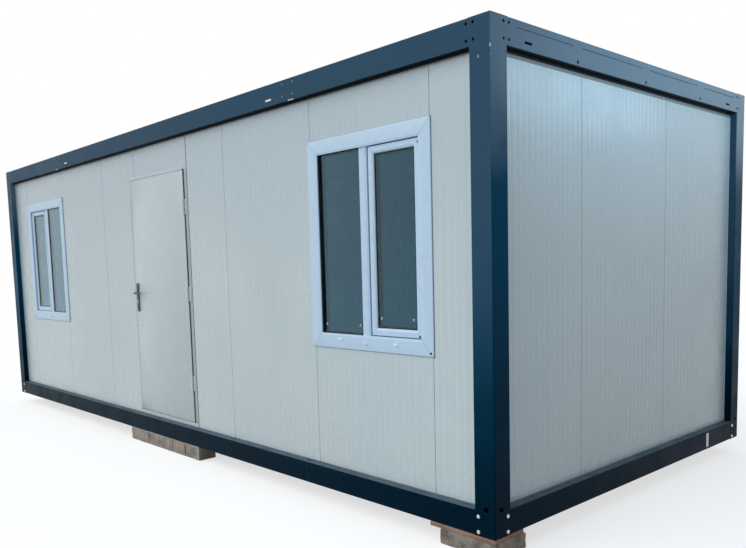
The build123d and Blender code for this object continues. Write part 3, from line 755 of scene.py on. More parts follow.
        marker = layered(rounded(rectangle(34 * mm, 100 * mm), 2 * mm), in_mm((0, 0), (0, 1), (0.5, 1.4)))
        place = (half.x, 964 * mm, bottom_beam + 66 * mm)
        add_steel("marker_strip", [placed(marker, place, *sides[RIGHT])], small_coat("marker_film"))
        return {"FINISHED"}


# The front panels from left to right, and those whose ribs are counted from their right edge
front_panels = ["front_panel_" + place for place in (
    "left_edge", "left_window", "left_plain", "beside_latch",
    "beside_hinges", "right_plain", "right_window", "right_edge",
)]
counted_from_right = ("front_panel_left_edge", "front_panel_beside_hinges")


def ribbed_panel(sizes, start, end, low, high, depth, first_rib, hole=None):
    """Wall panel: upright ribs pressed into both faces, each a raised-cosine groove, at one
    pitch from the first rib."""
    first = np.ceil((start - sizes.rib_width - first_rib) / sizes.rib_pitch)
    last = np.floor((end + sizes.rib_width - first_rib) / sizes.rib_pitch)
    centers = first_rib + np.arange(first, last + 1) * sizes.rib_pitch
    shape = np.linspace(-1, 1, 9) * sizes.rib_width / 2
    columns = (centers[:, None] + shape[None]).ravel()
    edges = [start, end] + (list(hole[:2]) if hole else [])
    columns = np.unique(np.round(np.append(columns, edges), 6))
    columns = columns[(columns >= start - mm / 100) & (columns <= end + mm / 100)]
    rows = np.array([low, *(hole[2:] if hole else ()), high])
    nearest = np.abs((columns - first_rib + sizes.rib_pitch / 2) % sizes.rib_pitch - sizes.rib_pitch / 2)
    groove = sizes.rib_depth * (1 + np.cos(np.pi * np.clip(nearest / (sizes.rib_width / 2), 0, 1))) / 2
    return slab(columns, rows, groove, depth - groove, hole)


def on_wall(shell, facing, face):
    """Shell from a wall's own axes, along, up and inwards, to the cabin's."""
    along, up, outwards = sides[facing]
    return placed(shell, np.abs(outwards) * face, along, up, np.negative(outwards))


class CABIN_OT_wall_panels(bpy.types.Operator):
    """Put ribbed sandwich panels in place of the plain slabs, with their seals and strips"""

    bl_idname = "cabin.wall_panels"
    bl_label = "Wall panels"

    def execute(self, context):
        sizes, colours = settings(context)
        sheet = coated_sheet("coil_coated_steel", colours.panel, colours.panel_shade_and_stain)
        rubber = extruded_rubber(colours)
        joints = []
        ease, half_joint = 0.6 * mm, 1 * mm
        tongue = in_mm((-3, 3), (3, 3), (3, 45), (-3, 45))
        foot, head = (corner.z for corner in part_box("front_panel_left_edge"))
        faces = {
            FRONT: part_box("front_panel_left_edge")[0].y,
            BACK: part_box("back_wall_panels")[1].y,
            LEFT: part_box("left_end_wall_panels")[0].x,
            RIGHT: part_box("right_end_wall_panels")[1].x,
        }

        def panels(node, facing):
            """Ribbed panels in the spans that a node's solids fill along its wall, each with a
            tongue that closes the joint behind its edge."""
            axis = 0 if facing in (FRONT, BACK) else 1
            along, levels = marks(node, axis), marks(node, 2)
            depth = np.ptp(marks(node, 1 - axis))
            hole = None
            if "window" in node:
                hole = (along[1], along[2], levels[1], levels[2])
                along = along[[0, 3]]
            shells = []
            for start, end in zip(along[::2], along[1::2]):
                first_of_wall = node.endswith("wall_panels") and start == along[0]
                backwards = node in counted_from_right or first_of_wall
                origin = end + half_joint if backwards else start - half_joint
                bounds = start + ease, end - ease, levels[0], levels[-1]
                panel = ribbed_panel(sizes, *bounds, depth, origin, hole)
                shells.append(on_wall(panel, facing, faces[facing]))
                ends = [(end + half_joint, z, 0) for z in (levels[0] + 2 * mm, levels[-1] - 2 * mm)]
                joints.append(on_wall(run(tongue, *ends, (1, 0, 0), (0, 0, 1)), facing, faces[facing]))
            add_piece(node + "_ribbed", shells, sheet, replaces=[node])

        for node in (*front_panels, "over_door_panels"):
            panels(node, FRONT)
        panels("back_wall_panels", BACK)
        panels("left_end_wall_panels", LEFT)
        panels("right_end_wall_panels", RIGHT)

        # Profiles, up and inwards from the wall's edge: a grey bead along the foot that paints shade,
        # a black seal and a grey strip along the head that paint the shade under the beam, both wider
        # on the ends, and a pale bead at each post
        bead = rounded(in_mm((-4, 0), (0, 0), (0, 7), (-1.5, 6.5)), 1 * mm)
        head_shade_seal = rounded(in_mm((-3, 0), (0.5, 0), (0.5, -10), (-2, -10)), 0.6 * mm)
        head_shade_strip = in_mm((-1.2, -9), (0.5, -9), (0.5, -18), (-1, -18))
        end_shade_seal = rounded(in_mm((-3, 0), (0.5, 0), (0.5, -14), (-2, -14)), 0.6 * mm)
        end_shade_strip = in_mm((-1.2, -13), (0.5, -13), (0.5, -32), (-2.5, -30))
        post_bead = rounded(in_mm((-2.2, 0), (0.3, 0), (0.3, 8), (-0.6, 8)), 0.5 * mm)
        post_low, post_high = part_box("corner_post_front_right")
        long_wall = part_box("front_top_beam")[1].x, post_low.x, head_shade_seal, head_shade_strip
        end_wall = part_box("right_end_top_beam")[1].y, -post_high.y, end_shade_seal, end_shade_strip
        beads, seals, strips, post_beads = [], [], [], []
        for facing, (reach, edge, seal, strip) in zip(sides, (long_wall, long_wall, end_wall, end_wall)):
            for profile, level, kind in ((bead, foot, beads), (seal, head, seals), (strip, head, strips)):
                shell = run(profile, (-reach, level, 0), (reach, level, 0), (0, 0, 1), (0, 1, 0))
                kind.append(on_wall(shell, facing, faces[facing]))
            for side in (1, -1):
                ends = [(side * edge, z, 0) for z in (foot + 7 * mm, head - 26 * mm)]
                shell = run(post_bead, *ends, (0, 0, 1), (-side, 0, 0))
                post_beads.append(on_wall(shell, facing, faces[facing]))
        for name, shells, material in (
            ("panel_joint_seals", joints, rubber),
            ("pale_post_beads", post_beads, small_coat("pale_post_bead")),
            ("foot_shade_bead", beads, small_coat("grey_shade_bead")),
            # Painted shade under the top beams: black seal and grey strip
            ("head_shade_seals", seals, rubber),
            ("head_shade_strips", strips, small_coat("head_shade_grey")),
        ):
            add_piece(name, shells, material)
        return {"FINISHED"}


class CABIN_OT_windows(bpy.types.Operator):
    """Build both windows: mitred trim, frame, mullion, sash, panes, gaskets and drain caps"""

    bl_idname = "cabin.windows"
    bl_label = "Windows"

    def execute(self, context):
        sizes, colours = settings(context)
        pvc = extruded_pvc(colours)
        glass = float_glass(colours)
        rubber = bpy.data.materials["extruded_rubber"]
        silicone = plain_coat("moulded_silicone", colours.silicone, 0.3, 5, 0.1)
        wall_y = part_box("front_panel_left_edge")[0].y
        trim, lining, stile = sizes.trim_width, 20 * mm, 44 * mm
        mullion_shift, half_mullion = 24 * mm, 33 * mm
        gap = sizes.mitre_gap

        # Profiles: inwards from the rectangle's edge, and outwards from the wall's face
        reveal = in_mm((0, -0.6), (2, -1.2), (2, -9), (0, -9))
        sash = rounded(in_mm((0, -10), (3, -7), (30, -7), (33, -8.5), (40, -11), (44, -18), (44, -41),
                             (40, -43), (0, -43)), 1.2 * mm)
        sash_seal = in_mm((-3.7, -16), (-0.3, -16), (-0.3, -40), (-3.7, -40))
        sealant = in_mm((0, 0), (0, 2), (-1, 1.8), (-2.4, 0))
        pad = turned(in_mm((8, 0), (8, 1.5), (6, 3), (1.5, 3.4)), 16)
        plug = turned(in_mm((7, 0), (7, 0.8), (5, 1.4), (1, 1.6)), 12)
        cap = layered(rounded(rectangle(34 * mm, 15 * mm), 6 * mm),
                      in_mm((0, 0), (0.3, 2.5), (1.6, 4), (5, 4.4)))
        pane_layers = in_mm((0.5, 0), (0, 0.5), (0, 3.5), (0.5, 4))

        # Drain caps, from the window's middle towards its sash, and up from the trim's lower edge
        cap_places = (-246 * mm, 55 * mm), (-23 * mm, 38 * mm), (228 * mm, 49 * mm)
        for side, sash_side in ((LEFT, -1), (RIGHT, 1)):
            low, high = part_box(f"window_frame_{side}")
            center = (low.x + high.x) / 2, (low.z + high.z) / 2
            outer = high.x - low.x, high.z - low.z
            opening = outer[0] - 2 * trim, outer[1] - 2 * trim
            proud, deep = wall_y - low.y, high.y - wall_y

            # Trim, lining and inner trim: flat bars with rolled edges, mitred at the corners
            flange = rounded(
                [(0, 0), (0, 0.7 * proud), (2 * mm, proud), (trim - 11 * mm, proud),
                 (trim - 6 * mm, 0.78 * proud), (trim, 0.7 * proud), (trim, 0)], 1 * mm)
            lining_profile = rounded(
                [(0, 0.4 * mm), (lining, 0.4 * mm), (lining, -45 * mm), (lining - 3 * mm, -49 * mm),
                 (lining, -53 * mm), (lining, -deep), (0, -deep)], 0.8 * mm)
            inner = rounded(
                [(0, -50 * mm), (0, -55 * mm), (2 * mm, -58 * mm), (trim - lining, -58 * mm),
                 (trim - lining, -50 * mm)], 1 * mm)
            hole = opening[0] + 2 * lining, opening[1] + 2 * lining
            parts = mitred_bars(center, outer, flange, wall_y, gap)
            parts += mitred_bars(center, hole, lining_profile, wall_y)
            parts += mitred_bars(center, outer, inner, wall_y, gap)

            # Mullion: a stepped post between the fixed light and the sash
            mullion_x = center[0] - sash_side * mullion_shift
            front_steps = in_mm((-33, -8), (-30, -5), (20, -5), (22, -8), (24, -5), (30, -5), (33, -8))
            section = np.array([(-half_mullion, -deep), *front_steps, (half_mullion, -deep)])
            ends = [(mullion_x, wall_y, center[1] + sign * opening[1] / 2) for sign in (-1, 1)]
            parts.append(run(rounded(section, 1 * mm) * (sash_side, 1), *ends, (1, 0, 0), (0, -1, 0)))

            # Stop behind the sash
            sash_light = opening[0] / 2 + mullion_shift - half_mullion
            fixed_light = opening[0] / 2 - mullion_shift - half_mullion
            sash_x = center[0] + sash_side * (opening[0] - sash_light) / 2
            fixed_x = center[0] - sash_side * (opening[0] - fixed_light) / 2
            stop = [(0, -43.5 * mm), (16 * mm, -43.5 * mm), (16 * mm, -deep), (0, -deep)]
            parts += mitred_bars((sash_x, center[1]), (sash_light, opening[1]), stop, wall_y)

            # Drain caps on the lower trim, the middle one in the trim's own plastic
            left_cap, middle_cap, right_cap = [
                placed(cap, (center[0] + sash_side * offset, low.y, low.z + rise), *sides[FRONT])
                for offset, rise in cap_places
            ]
            parts.append(middle_cap)

            # Sash: a mitred frame, 4 mm clear of its light, and 10 mm clear of the mullion
            sash_size = sash_light - 14 * mm, opening[1] - 8 * mm
            sash_x += sash_side * 3 * mm
            sash_bars = mitred_bars((sash_x, center[1]), sash_size, sash, wall_y, gap / 2)

            # Panes: two sheets of glass to each light, with a spacer between them, a gasket
            # round them and clear pads in the lower corners
            panes, pads = [], []
            # Black lining in the fixed light's reveal: the gasket, with painted shade of the reveal
            seals = mitred_bars((fixed_x, center[1]), (fixed_light, opening[1]), reveal, wall_y)
            del seals[1 if sash_side > 0 else 3]
            for light_x, light_size, face, gasket_width in (
                (fixed_x, (fixed_light, opening[1]), -14 * mm, 4 * mm),
                (sash_x, (sash_size[0] - 2 * stile, sash_size[1] - 2 * stile), -20 * mm, 5 * mm),
            ):
                light_center = light_x, center[1]
                sheet = layered(rounded(rectangle(*light_size), 1 * mm), pane_layers)
                for setback in (-face, -face + 16 * mm):
                    panes.append(placed(sheet, (light_x, wall_y + setback, center[1]), *sides[BACK]))
                spacer = in_mm((0.5, -4.2), (12, -4.2), (12, -15.8), (0.5, -15.8)) + (0, face)
                gasket = in_mm((0, 0.3), (0, 4), (3, 3.5), (gasket_width / mm, 0.3)) + (0, face)
                seals += [ring(light_center, light_size, spacer, wall_y),
                          ring(light_center, light_size, rounded(gasket, 0.8 * mm), wall_y)]
                for sign in (-1, 1):
                    place = (light_x + sign * (light_size[0] / 2 - 30 * mm), wall_y - face - 0.2 * mm,
                             center[1] - light_size[1] / 2 + 55 * mm)
                    pads.append(placed(pad, place, *sides[FRONT]))
            seals.append(ring((sash_x, center[1]), sash_size, sash_seal, wall_y))
            for offset, height, setback in ((413 * mm, 513 * mm, 7 * mm), (402 * mm, -527 * mm, 7 * mm),
                                            (494 * mm, -611 * mm, -proud)):
                place = (center[0] + sash_side * offset, wall_y + setback, center[1] + height)
                seals.append(placed(plug, place, *sides[FRONT]))

            # Grey bead round the trim: painted shade at its edge
            bead = ring(center, outer, sealant, wall_y)
            for name, shells, material in (
                ("drain_caps", [left_cap, right_cap], small_coat("white_nylon")),
                ("window_shade_bead", [bead], small_coat("grey_shade_bead")),
                ("window_seals", seals, rubber),
                ("window_pads", pads, silicone),
            ):
                add_piece(f"{name}_{side}", shells, material)
            for node, shells in ((f"window_frame_{side}", parts), (f"window_sash_{side}", sash_bars)):
                add_piece(node + "_profiles", shells, pvc, replaces=[node])
            add_piece(f"window_panes_{side}", panes, glass,
                      replaces=[f"window_glass_{side}"])
        return {"FINISHED"}


class CABIN_OT_door(bpy.types.Operator):
    """Build the door's leaf with its folded edge, and the seals, strips and lining of its frame"""

    bl_idname = "cabin.door"
    bl_label = "Door"

    def execute(self, context):
        colours = settings(context)[1]
        paint = coated_sheet("sprayed_door_steel", colours.door_paint, colours.panel_shade_and_stain)
        dress(["door_frame"], paint)
        low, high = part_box("door_leaf")
        thick = high.y - low.y
        left, right, foot, head = low.x - 3 * mm, high.x - 3 * mm, low.z - 4 * mm, high.z + 3 * mm
        fold, seam = 2.2 * mm, 1.2 * mm
        layers = [
            (fold, 0), (0.35 * fold, 0.3 * fold), (0, fold), (0, 0.47 * thick), (seam, 0.48 * thick),
            (seam, 0.52 * thick), (0, 0.53 * thick), (0, thick - fold), (0.35 * fold, thick - 0.3 * fold),
            (fold, thick),
        ]
        leaf = layered(rounded(rectangle(right - left, head - foot), 3 * mm), layers)
        leaf = placed(leaf, ((left + right) / 2, low.y, (foot + head) / 2), *sides[BACK])
        add_piece("door_leaf_folded", [leaf], paint, body="door", replaces=["door_leaf"])

        frame_low, frame_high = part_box("door_frame")
        wall_y = frame_low.y
        clear_left, clear_right = frame_low.x + 14 * mm, frame_high.x - 50 * mm
        clear_foot, clear_head = frame_low.z + 35 * mm, frame_high.z - 20 * mm
        center = (clear_left + clear_right) / 2, (clear_foot + clear_head) / 2
        clear_size = clear_right - clear_left, clear_head - clear_foot

        def upright(profile, x, bottom=clear_foot, top=clear_head):
            """Upright bar in the front wall, its profile measured to the right and inwards."""
            return run(profile, (x, wall_y, bottom), (x, wall_y, top), (1, 0, 0), (0, 1, 0))

        def level(profile, start, end, z, up=1):
            """Level bar in the front wall, its profile measured up or down and inwards."""
            return run(profile, (start, wall_y, z), (end, wall_y, z), (0, 0, up), (0, 1, 0))

        # Grey bulb seal on the stop behind the leaf
        bulb = rounded(in_mm((2, -46), (14, -46), (11, -41.4), (5, -41.4)), 2 * mm)
        seal = ring(center, clear_size, bulb, wall_y)

        # Black strip in the gap at the hinges, painted shade of the open gap, and a black strip on the joint at
        # the jamb's outer edge
        reach = high.x - clear_right - 1 * mm
        lap = in_mm((-0.5, 0.5), (-0.5, -0.9), (9, -0.9), (9, 0.3), (1, 0.3), (1, 8))
        gap_shade_strip = [(reach, 0.5 * mm), *lap, (reach, 8 * mm)]
        joint = in_mm((-3, 0), (3, 0), (2.6, -0.8), (-2.6, -0.8))
        joint_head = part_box("over_door_panels")[1].z - 18 * mm
        dark = [upright(gap_shade_strip, clear_right), upright(joint, frame_high.x, frame_low.z, joint_head)]
        lining = rectangle(46 * mm, 0.8 * mm) + (25 * mm, -0.2 * mm)

        # Pale strips that narrow the gap at the latch edge and the top, and a drip bar on the head
        strip = in_mm((0, 3), (1.8, 3), (1.8, 11), (0, 11))
        drip = in_mm((1, 0), (1, -3.4), (2, -3.8), (19, -0.4), (19, 0))
        pale = [upright(strip, clear_left), level(strip, clear_left, clear_right, clear_head, -1),
                level(drip, clear_left, clear_right, clear_head)]
        for name, shells, material in (
            ("door_bulb_seal", [seal], small_coat("grey_rubber")),
            ("door_gap_shade_strip", dark, small_coat("shade_and_joint_black")),
            # Grey lining on the hinge jamb: painted shade
            ("hinge_jamb_shade_grey", [upright(lining, clear_right)], small_coat("jamb_shade_grey")),
            ("door_frame_strips", pale, paint),
        ):
            add_piece(name, shells, material)

        # A thin lip on the leaf laps over the frame at the latch edge and the top
        lip = in_mm((-5, 0), (6, 0), (6, -1), (-5, -1))
        top_lip = in_mm((-6, 0), (3.5, 0), (3.5, -1), (-6, -1))
        lips = [upright(lip, left, foot + 3 * mm, head - 6 * mm),
                level(top_lip, left - 5 * mm, right - 12 * mm, head)]
        add_piece("door_leaf_lip", lips, paint, body="door")
        return {"FINISHED"}


def joint_place(name):
    """The point that a joint turns about."""
    return next(joint for joint in frame["joints"] if joint["name"] == name)["pos_m"]


class CABIN_OT_hinges(bpy.types.Operator):
    """Build the three hinges: knuckles, plates, pin caps and screws"""

    bl_idname = "cabin.hinges"
    bl_label = "Hinges"

    def execute(self, context):
        sizes = settings(context)[0]
        paint, zinc = bpy.data.materials["sprayed_door_steel"], bpy.data.materials["plated_zinc"]
        axis_x, axis_y, _ = joint_place("door_swing")
        leaf_low, leaf_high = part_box("door_leaf")
        lower, upper = leaf_low.z + 309 * mm, leaf_high.z - 283 * mm
        length, middle = 118 * mm, 47.2 * mm
        outer_length = (length - middle) / 2 - mm
        radius = sizes.knuckle_radius
        frame_plate_end, leaf_plate_start = 515 * mm, 438 * mm
        frame_screw_x, leaf_screw_x = 503 * mm, 455 * mm

        def on_axis(shell, z, up=1):
            """Turned shell on the hinge's axis, pointing up or down."""
            return placed(shell, (axis_x, axis_y, z), (1, 0, 0), (0, 1, 0), (0, 0, up))

        def knuckle(bottom, height):
            """Rolled knuckle with eased ends."""
            ease = 0.8 * mm
            profile = (radius - ease, 0), (radius, ease), (radius, height - ease), (radius - ease, height)
            return on_axis(turned(profile, sizes.round_steps), bottom)

        def plate(start, end, bottom, height):
            """Flat plate against the wall face, with eased edges."""
            outline = rounded(rectangle(end - start, height), 2 * mm)
            shape = layered(outline, in_mm((0, 0), (0, 2.4), (0.6, 3)))
            return placed(shape, ((start + end) / 2, leaf_low.y, bottom + height / 2), *sides[FRONT])

        screw = turned(in_mm((4.2, 0), (4.2, 0.3), (3.4, 1.2), (1, 1.5)), 12)
        cap = turned(in_mm((4.6, 0), (4.6, 1), (3, 2.6), (0.8, 3)), 16)
        frame_parts, leaf_parts, screws, leaf_screws = [], [], [], []
        for level in (lower, (lower + upper) / 2 + 17 * mm, upper):
            bottom, top = level - length / 2, level + length / 2
            for z in (bottom, top - outer_length):
                frame_parts += [knuckle(z, outer_length),
                                plate(axis_x, axis_x + radius + 2 * mm, z, outer_length)]
            frame_parts += [plate(axis_x + radius - 1 * mm, frame_plate_end, bottom, length),
                            on_axis(cap, top), on_axis(cap, bottom, -1)]
            leaf_parts += [knuckle(level - middle / 2, middle),
                           plate(leaf_plate_start, leaf_high.x, bottom, length),
                           plate(leaf_high.x - mm, axis_x, level - middle / 2, middle)]
            for x, kind in ((frame_screw_x, screws), (leaf_screw_x, leaf_screws)):
                for share in (0.16, 0.5, 0.84):
                    place = (x, leaf_low.y - 3 * mm, bottom + share * length)
                    kind.append(placed(screw, place, *sides[FRONT]))
        add_piece("hinge_frame_knuckles", frame_parts, paint, replaces=["hinge_frame_halves"])
        add_piece("hinge_leaf_knuckles", leaf_parts, paint, body="door",
                  replaces=["hinge_leaf_halves"])
        add_piece("hinge_frame_screws", screws, zinc)
        add_piece("hinge_leaf_screws", leaf_screws, zinc, body="door")
        return {"FINISHED"}


class CABIN_OT_handle(bpy.types.Operator):
    """Build the handle: long plates, lock cylinder, screws and the two levers"""

    bl_idname = "cabin.handle"
    bl_label = "Handle"

    def execute(self, context):
        sizes, colours = settings(context)
        black = moulded_nylon(colours)
        axis_x, _, axis_z = joint_place("lever_turn")
        leaf_low, leaf_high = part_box("door_leaf")
        low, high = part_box("handle_plates")
        size = high.x - low.x, high.z - low.z
        thick = leaf_low.y - low.y
        plate_layers = [(0, 0), (0, 0.45 * thick), (0.8 * mm, 0.8 * thick), (3 * mm, thick), (6 * mm, thick)]
        plate = layered(rounded(rectangle(*size), size[0] / 3, 6), plate_layers)
        collar = turned([(15 * mm, 0), *in_mm((15, 1), (13.5, 3), (10, 4)) + (0, thick)], sizes.round_steps)
        key_outline = in_mm((-5, -16), (5, -16), (5, 0), (8.5, 5), (8.5, 13), (-8.5, 13), (-8.5, 5), (-5, 0))
        keyhole = layered(rounded(key_outline, 4 * mm), [(0, 0), *in_mm((0, 1.4), (0.6, 2)) + (0, thick)])
        key_slot = layered(rounded(rectangle(1.8 * mm, 8 * mm), 0.5 * mm), [(0, 0), (0, thick + 2.2 * mm)])
        screw = turned([(3.5 * mm, 0), *in_mm((3.5, 0.4), (2.6, 1.2), (0.8, 1.5)) + (0, thick)], 12)

        def both_faces(*shells):
            """Shells on both faces of the leaf, each at its height."""
            return [
                placed(shell, (axis_x, face, z), *sides[side])
                for face, side in ((leaf_low.y, FRONT), (leaf_high.y, BACK)) for shell, z in shells
            ]

        plates = both_faces((plate, (low.z + high.z) / 2), (collar, axis_z), (key_slot, axis_z - 67 * mm))
        metal = both_faces((keyhole, axis_z - 72 * mm), (screw, low.z + 13 * mm), (screw, high.z - 13 * mm))
        add_piece("handle_plates_moulded", plates, black, body="door", replaces=["handle_plates"])
        add_piece("lock_and_screws", metal, bpy.data.materials["plated_zinc"], body="door")

        # Lever: straight out of the plate, round a bend, then along the leaf to a blunt end
        reach, bend = 41.5 * mm, 9 * mm
        out = [(0, 0, depth) for depth in (0, 0.4 * reach, 0.7 * reach, reach - bend)]
        turn = np.linspace(0, np.pi / 2, 9)[1:-1]
        arc = np.stack([bend * (1 - np.cos(turn)), 0 * turn, reach - bend + bend * np.sin(turn)], -1)
        grip_x = np.linspace(bend, sizes.lever_length, 14)
        share = (grip_x - bend) / (sizes.lever_length - bend)
        grip = np.stack([grip_x, -2.5 * mm * share ** 2, reach - 1.5 * mm * np.sin(np.pi * share)], -1)
        path = np.concatenate([out, arc, grip])
        along = np.linspace(0, 1, len(path))
        stations = [0, 0.18, 0.4, 0.85, 0.95, 1]
        widths = np.interp(along, stations, in_mm(8.6, 7.5, 6.2, 6.2, 5.2, 2.5))
        heights = np.interp(along, stations, in_mm(8.6, 8, 8.8, 8.4, 7, 3.4))
        levers = both_faces((swept(path, widths, heights, (0, 1, 0), 20), axis_z))
        add_piece("handle_levers_moulded", levers, black, body="lever",
                  replaces=["handle_lever"], smooth=50)
        return {"FINISHED"}


class CABIN_OT_roof_and_room(bpy.types.Operator):
    """Finish the roof sheet, purlins, ceiling, floor and joists, and screw the roof down"""

    bl_idname = "cabin.roof_and_room"
    bl_label = "Roof and room"

    def execute(self, context):
        colours = settings(context)[1]
        dress(["roof_sheet"], dipped_galvanised(colours))
        # Primer is sprayed, the liner's coat rolled on and the floor's vinyl calendered
        dress(["floor_joists", "roof_purlins"], plain_coat("sprayed_primer", colours.primer, 0.6, 4, 0.15))
        dress(["ceiling_board"], plain_coat("rolled_liner_coat", colours.liner, 0.45, 5, 0.06))
        dress(["floor_board"], plain_coat("calendered_vinyl", colours.vinyl, 0.4, 3, 0.35))
        low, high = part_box("roof_sheet")
        screw = turned(in_mm((8, 0), (8, 1.5), (4.5, 2), (4.5, 5), (2, 6.5)), 10)
        seams = np.arange(-6, 7) * 500 * mm
        screws = [
            placed(screw, (x, y, high.z), (1, 0, 0), (0, 1, 0), (0, 0, 1))
            for y in np.linspace(low.y + 250 * mm, high.y - 250 * mm, 6)
            for x in seams[np.abs(seams) < high.x - 300 * mm]
        ]
        add_piece("roof_screws", screws, bpy.data.materials["plated_zinc"])
        return {"FINISHED"}


def weathered_box(low, high, edge, rough, seed):
    """Block with worn edges: a rounded plate whose points are pushed about by a sum of three
    sine waves, each with its own direction, so that it never repeats along a side."""
    size = np.array(high) - np.array(low)
    corners = rectangle(size[0], size[1])
    sides = []
    for start, end in zip(corners, np.roll(corners, -1, 0)):
        count = max(3, int(np.linalg.norm(end - start) / 0.03))
        t = np.linspace(0, 1, count, endpoint=False)[:, None]
        sides.append(start + (end - start) * t)
    outline = np.concatenate(sides)
    shrink = 1 - edge / (size[:2] / 2)
    levels = np.linspace(edge, size[2] - edge, max(3, int(size[2] / 0.03)))
    rings = [np.column_stack([outline * shrink, np.zeros(len(outline))])]
    rings += [np.column_stack([outline, np.full(len(outline), level)]) for level in levels]
    rings += [np.column_stack([outline * shrink, np.full(len(outline), size[2])])]
    points, faces = loft(np.array(rings))
    waves = np.random.default_rng(seed).uniform(-1, 1, (3, 3)) * 90
    push = np.sin(points @ waves.T + seed) @ np.ones(3) / 3
    middle = np.array([0, 0, size[2] / 2])
    inward = (middle - points) / np.linalg.norm(middle - points, axis=1)[:, None]
    points = points + inward * ((push + 1) / 2 * rough)[:, None] * (1, 1, 0)
    return points + np.array([(low[0] + high[0]) / 2, (low[1] + high[1]) / 2, low[2]]), faces


class CABIN_OT_supports(bpy.types.Operator):
    """Put weathered blocks, planks and packing boards under the frame"""

    bl_idname = "cabin.supports"
    bl_label = "Supports"

    def execute(self, context):
        colours = settings(context)[1]
        concrete = cast_concrete("cast_concrete", colours.block, colours.block_dark)
        # Darker concrete for the blocks at the corners
        corner_concrete = cast_concrete("corner_concrete", linear("867f77"), linear("4f4a45"))
        plank = sawn_timber("sawn_plank", colours.plank, colours.plank_dark)
        board = sawn_timber("sawn_packing_board", colours.board, linear("8d867c"))

        def middle_row(node):
            """Boxes of the supports under the long sides, from where the node has corners."""
            x, y, z = (marks(node, axis) for axis in range(3))
            return [
                ((x0, y0, z[0]), (x1, y1, z[-1]))
                for x0, x1 in zip(x[::2], x[1::2])
                for y0, y1 in zip(y[::2], y[1::2])
            ]

        def near_corners(node, length, width):
            """Boxes of the supports near the corners, all but one of them set in."""
            low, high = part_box(node)
            inset = 280 * mm
            starts = (
                (high.x - length, low.y), (high.x - inset - length, high.y - width),
                (low.x, low.y + inset), (low.x, high.y - inset - width),
            )
            return [((x, y, low.z), (x + length, y + width, high.z)) for x, y in starts]

        # Each node with the size of its boxes, its worn edge and its roughness in millimetres
        rows = (
            ("middle_blocks", middle_row, (), concrete, 5, 5, "block"),
            ("corner_blocks", near_corners, (370, 260), corner_concrete, 5, 5, "block"),
            ("corner_planks", near_corners, (440, 240), plank, 2, 3, "timber"),
            ("middle_shims", middle_row, (), board, 1.5, 3, "shim"),
        )
        for node, boxes, size, material, edge, rough, slot in rows:
            shells = [
                weathered_box(low, high, edge * mm, rough * mm, seed)
                for seed, (low, high) in enumerate(boxes(node, *in_mm(*size)))
            ]
            add_piece(node + "_weathered", shells, material, replaces=[node])
        return {"FINISHED"}


def seen_directly(tree):
    """1 for what the camera sees, itself or in a mirror or through glass, and 0 for diffuse light."""
    light_path = add(tree, "LightPath")
    direct = light_path.outputs["Is Camera Ray"]
    for ray in ("Is Glossy Ray", "Is Transmission Ray"):
        direct = add(tree, "Math", {0: direct, 1: light_path.outputs[ray]}, operation="MAXIMUM").outputs[0]
    return direct


def aim(towards):
    """Turn of a lamp that shines away from a direction."""
    towards = np.array(towards, float) / np.linalg.norm(towards)
    side = np.cross((0, 0, 1), towards)
    side /= np.linalg.norm(side)
    return Matrix(np.column_stack([side, np.cross(towards, side), towards]).tolist()).to_4x4()


def camera_axes(yaw, pitch, roll):
    """Right, up and back directions of a camera turned left of +Y, tipped and rolled."""
    yaw, pitch, roll = np.radians([yaw, pitch, roll])
    level = np.array([np.cos(yaw), np.sin(yaw), 0])
    ahead = np.array([-np.sin(yaw) * np.cos(pitch), np.cos(yaw) * np.cos(pitch), np.sin(pitch)])
    upright = np.cross(level, ahead)
    right = np.cos(roll) * level + np.sin(roll) * upright
    up = -np.sin(roll) * level + np.cos(roll) * upright
    return right, up, -ahead


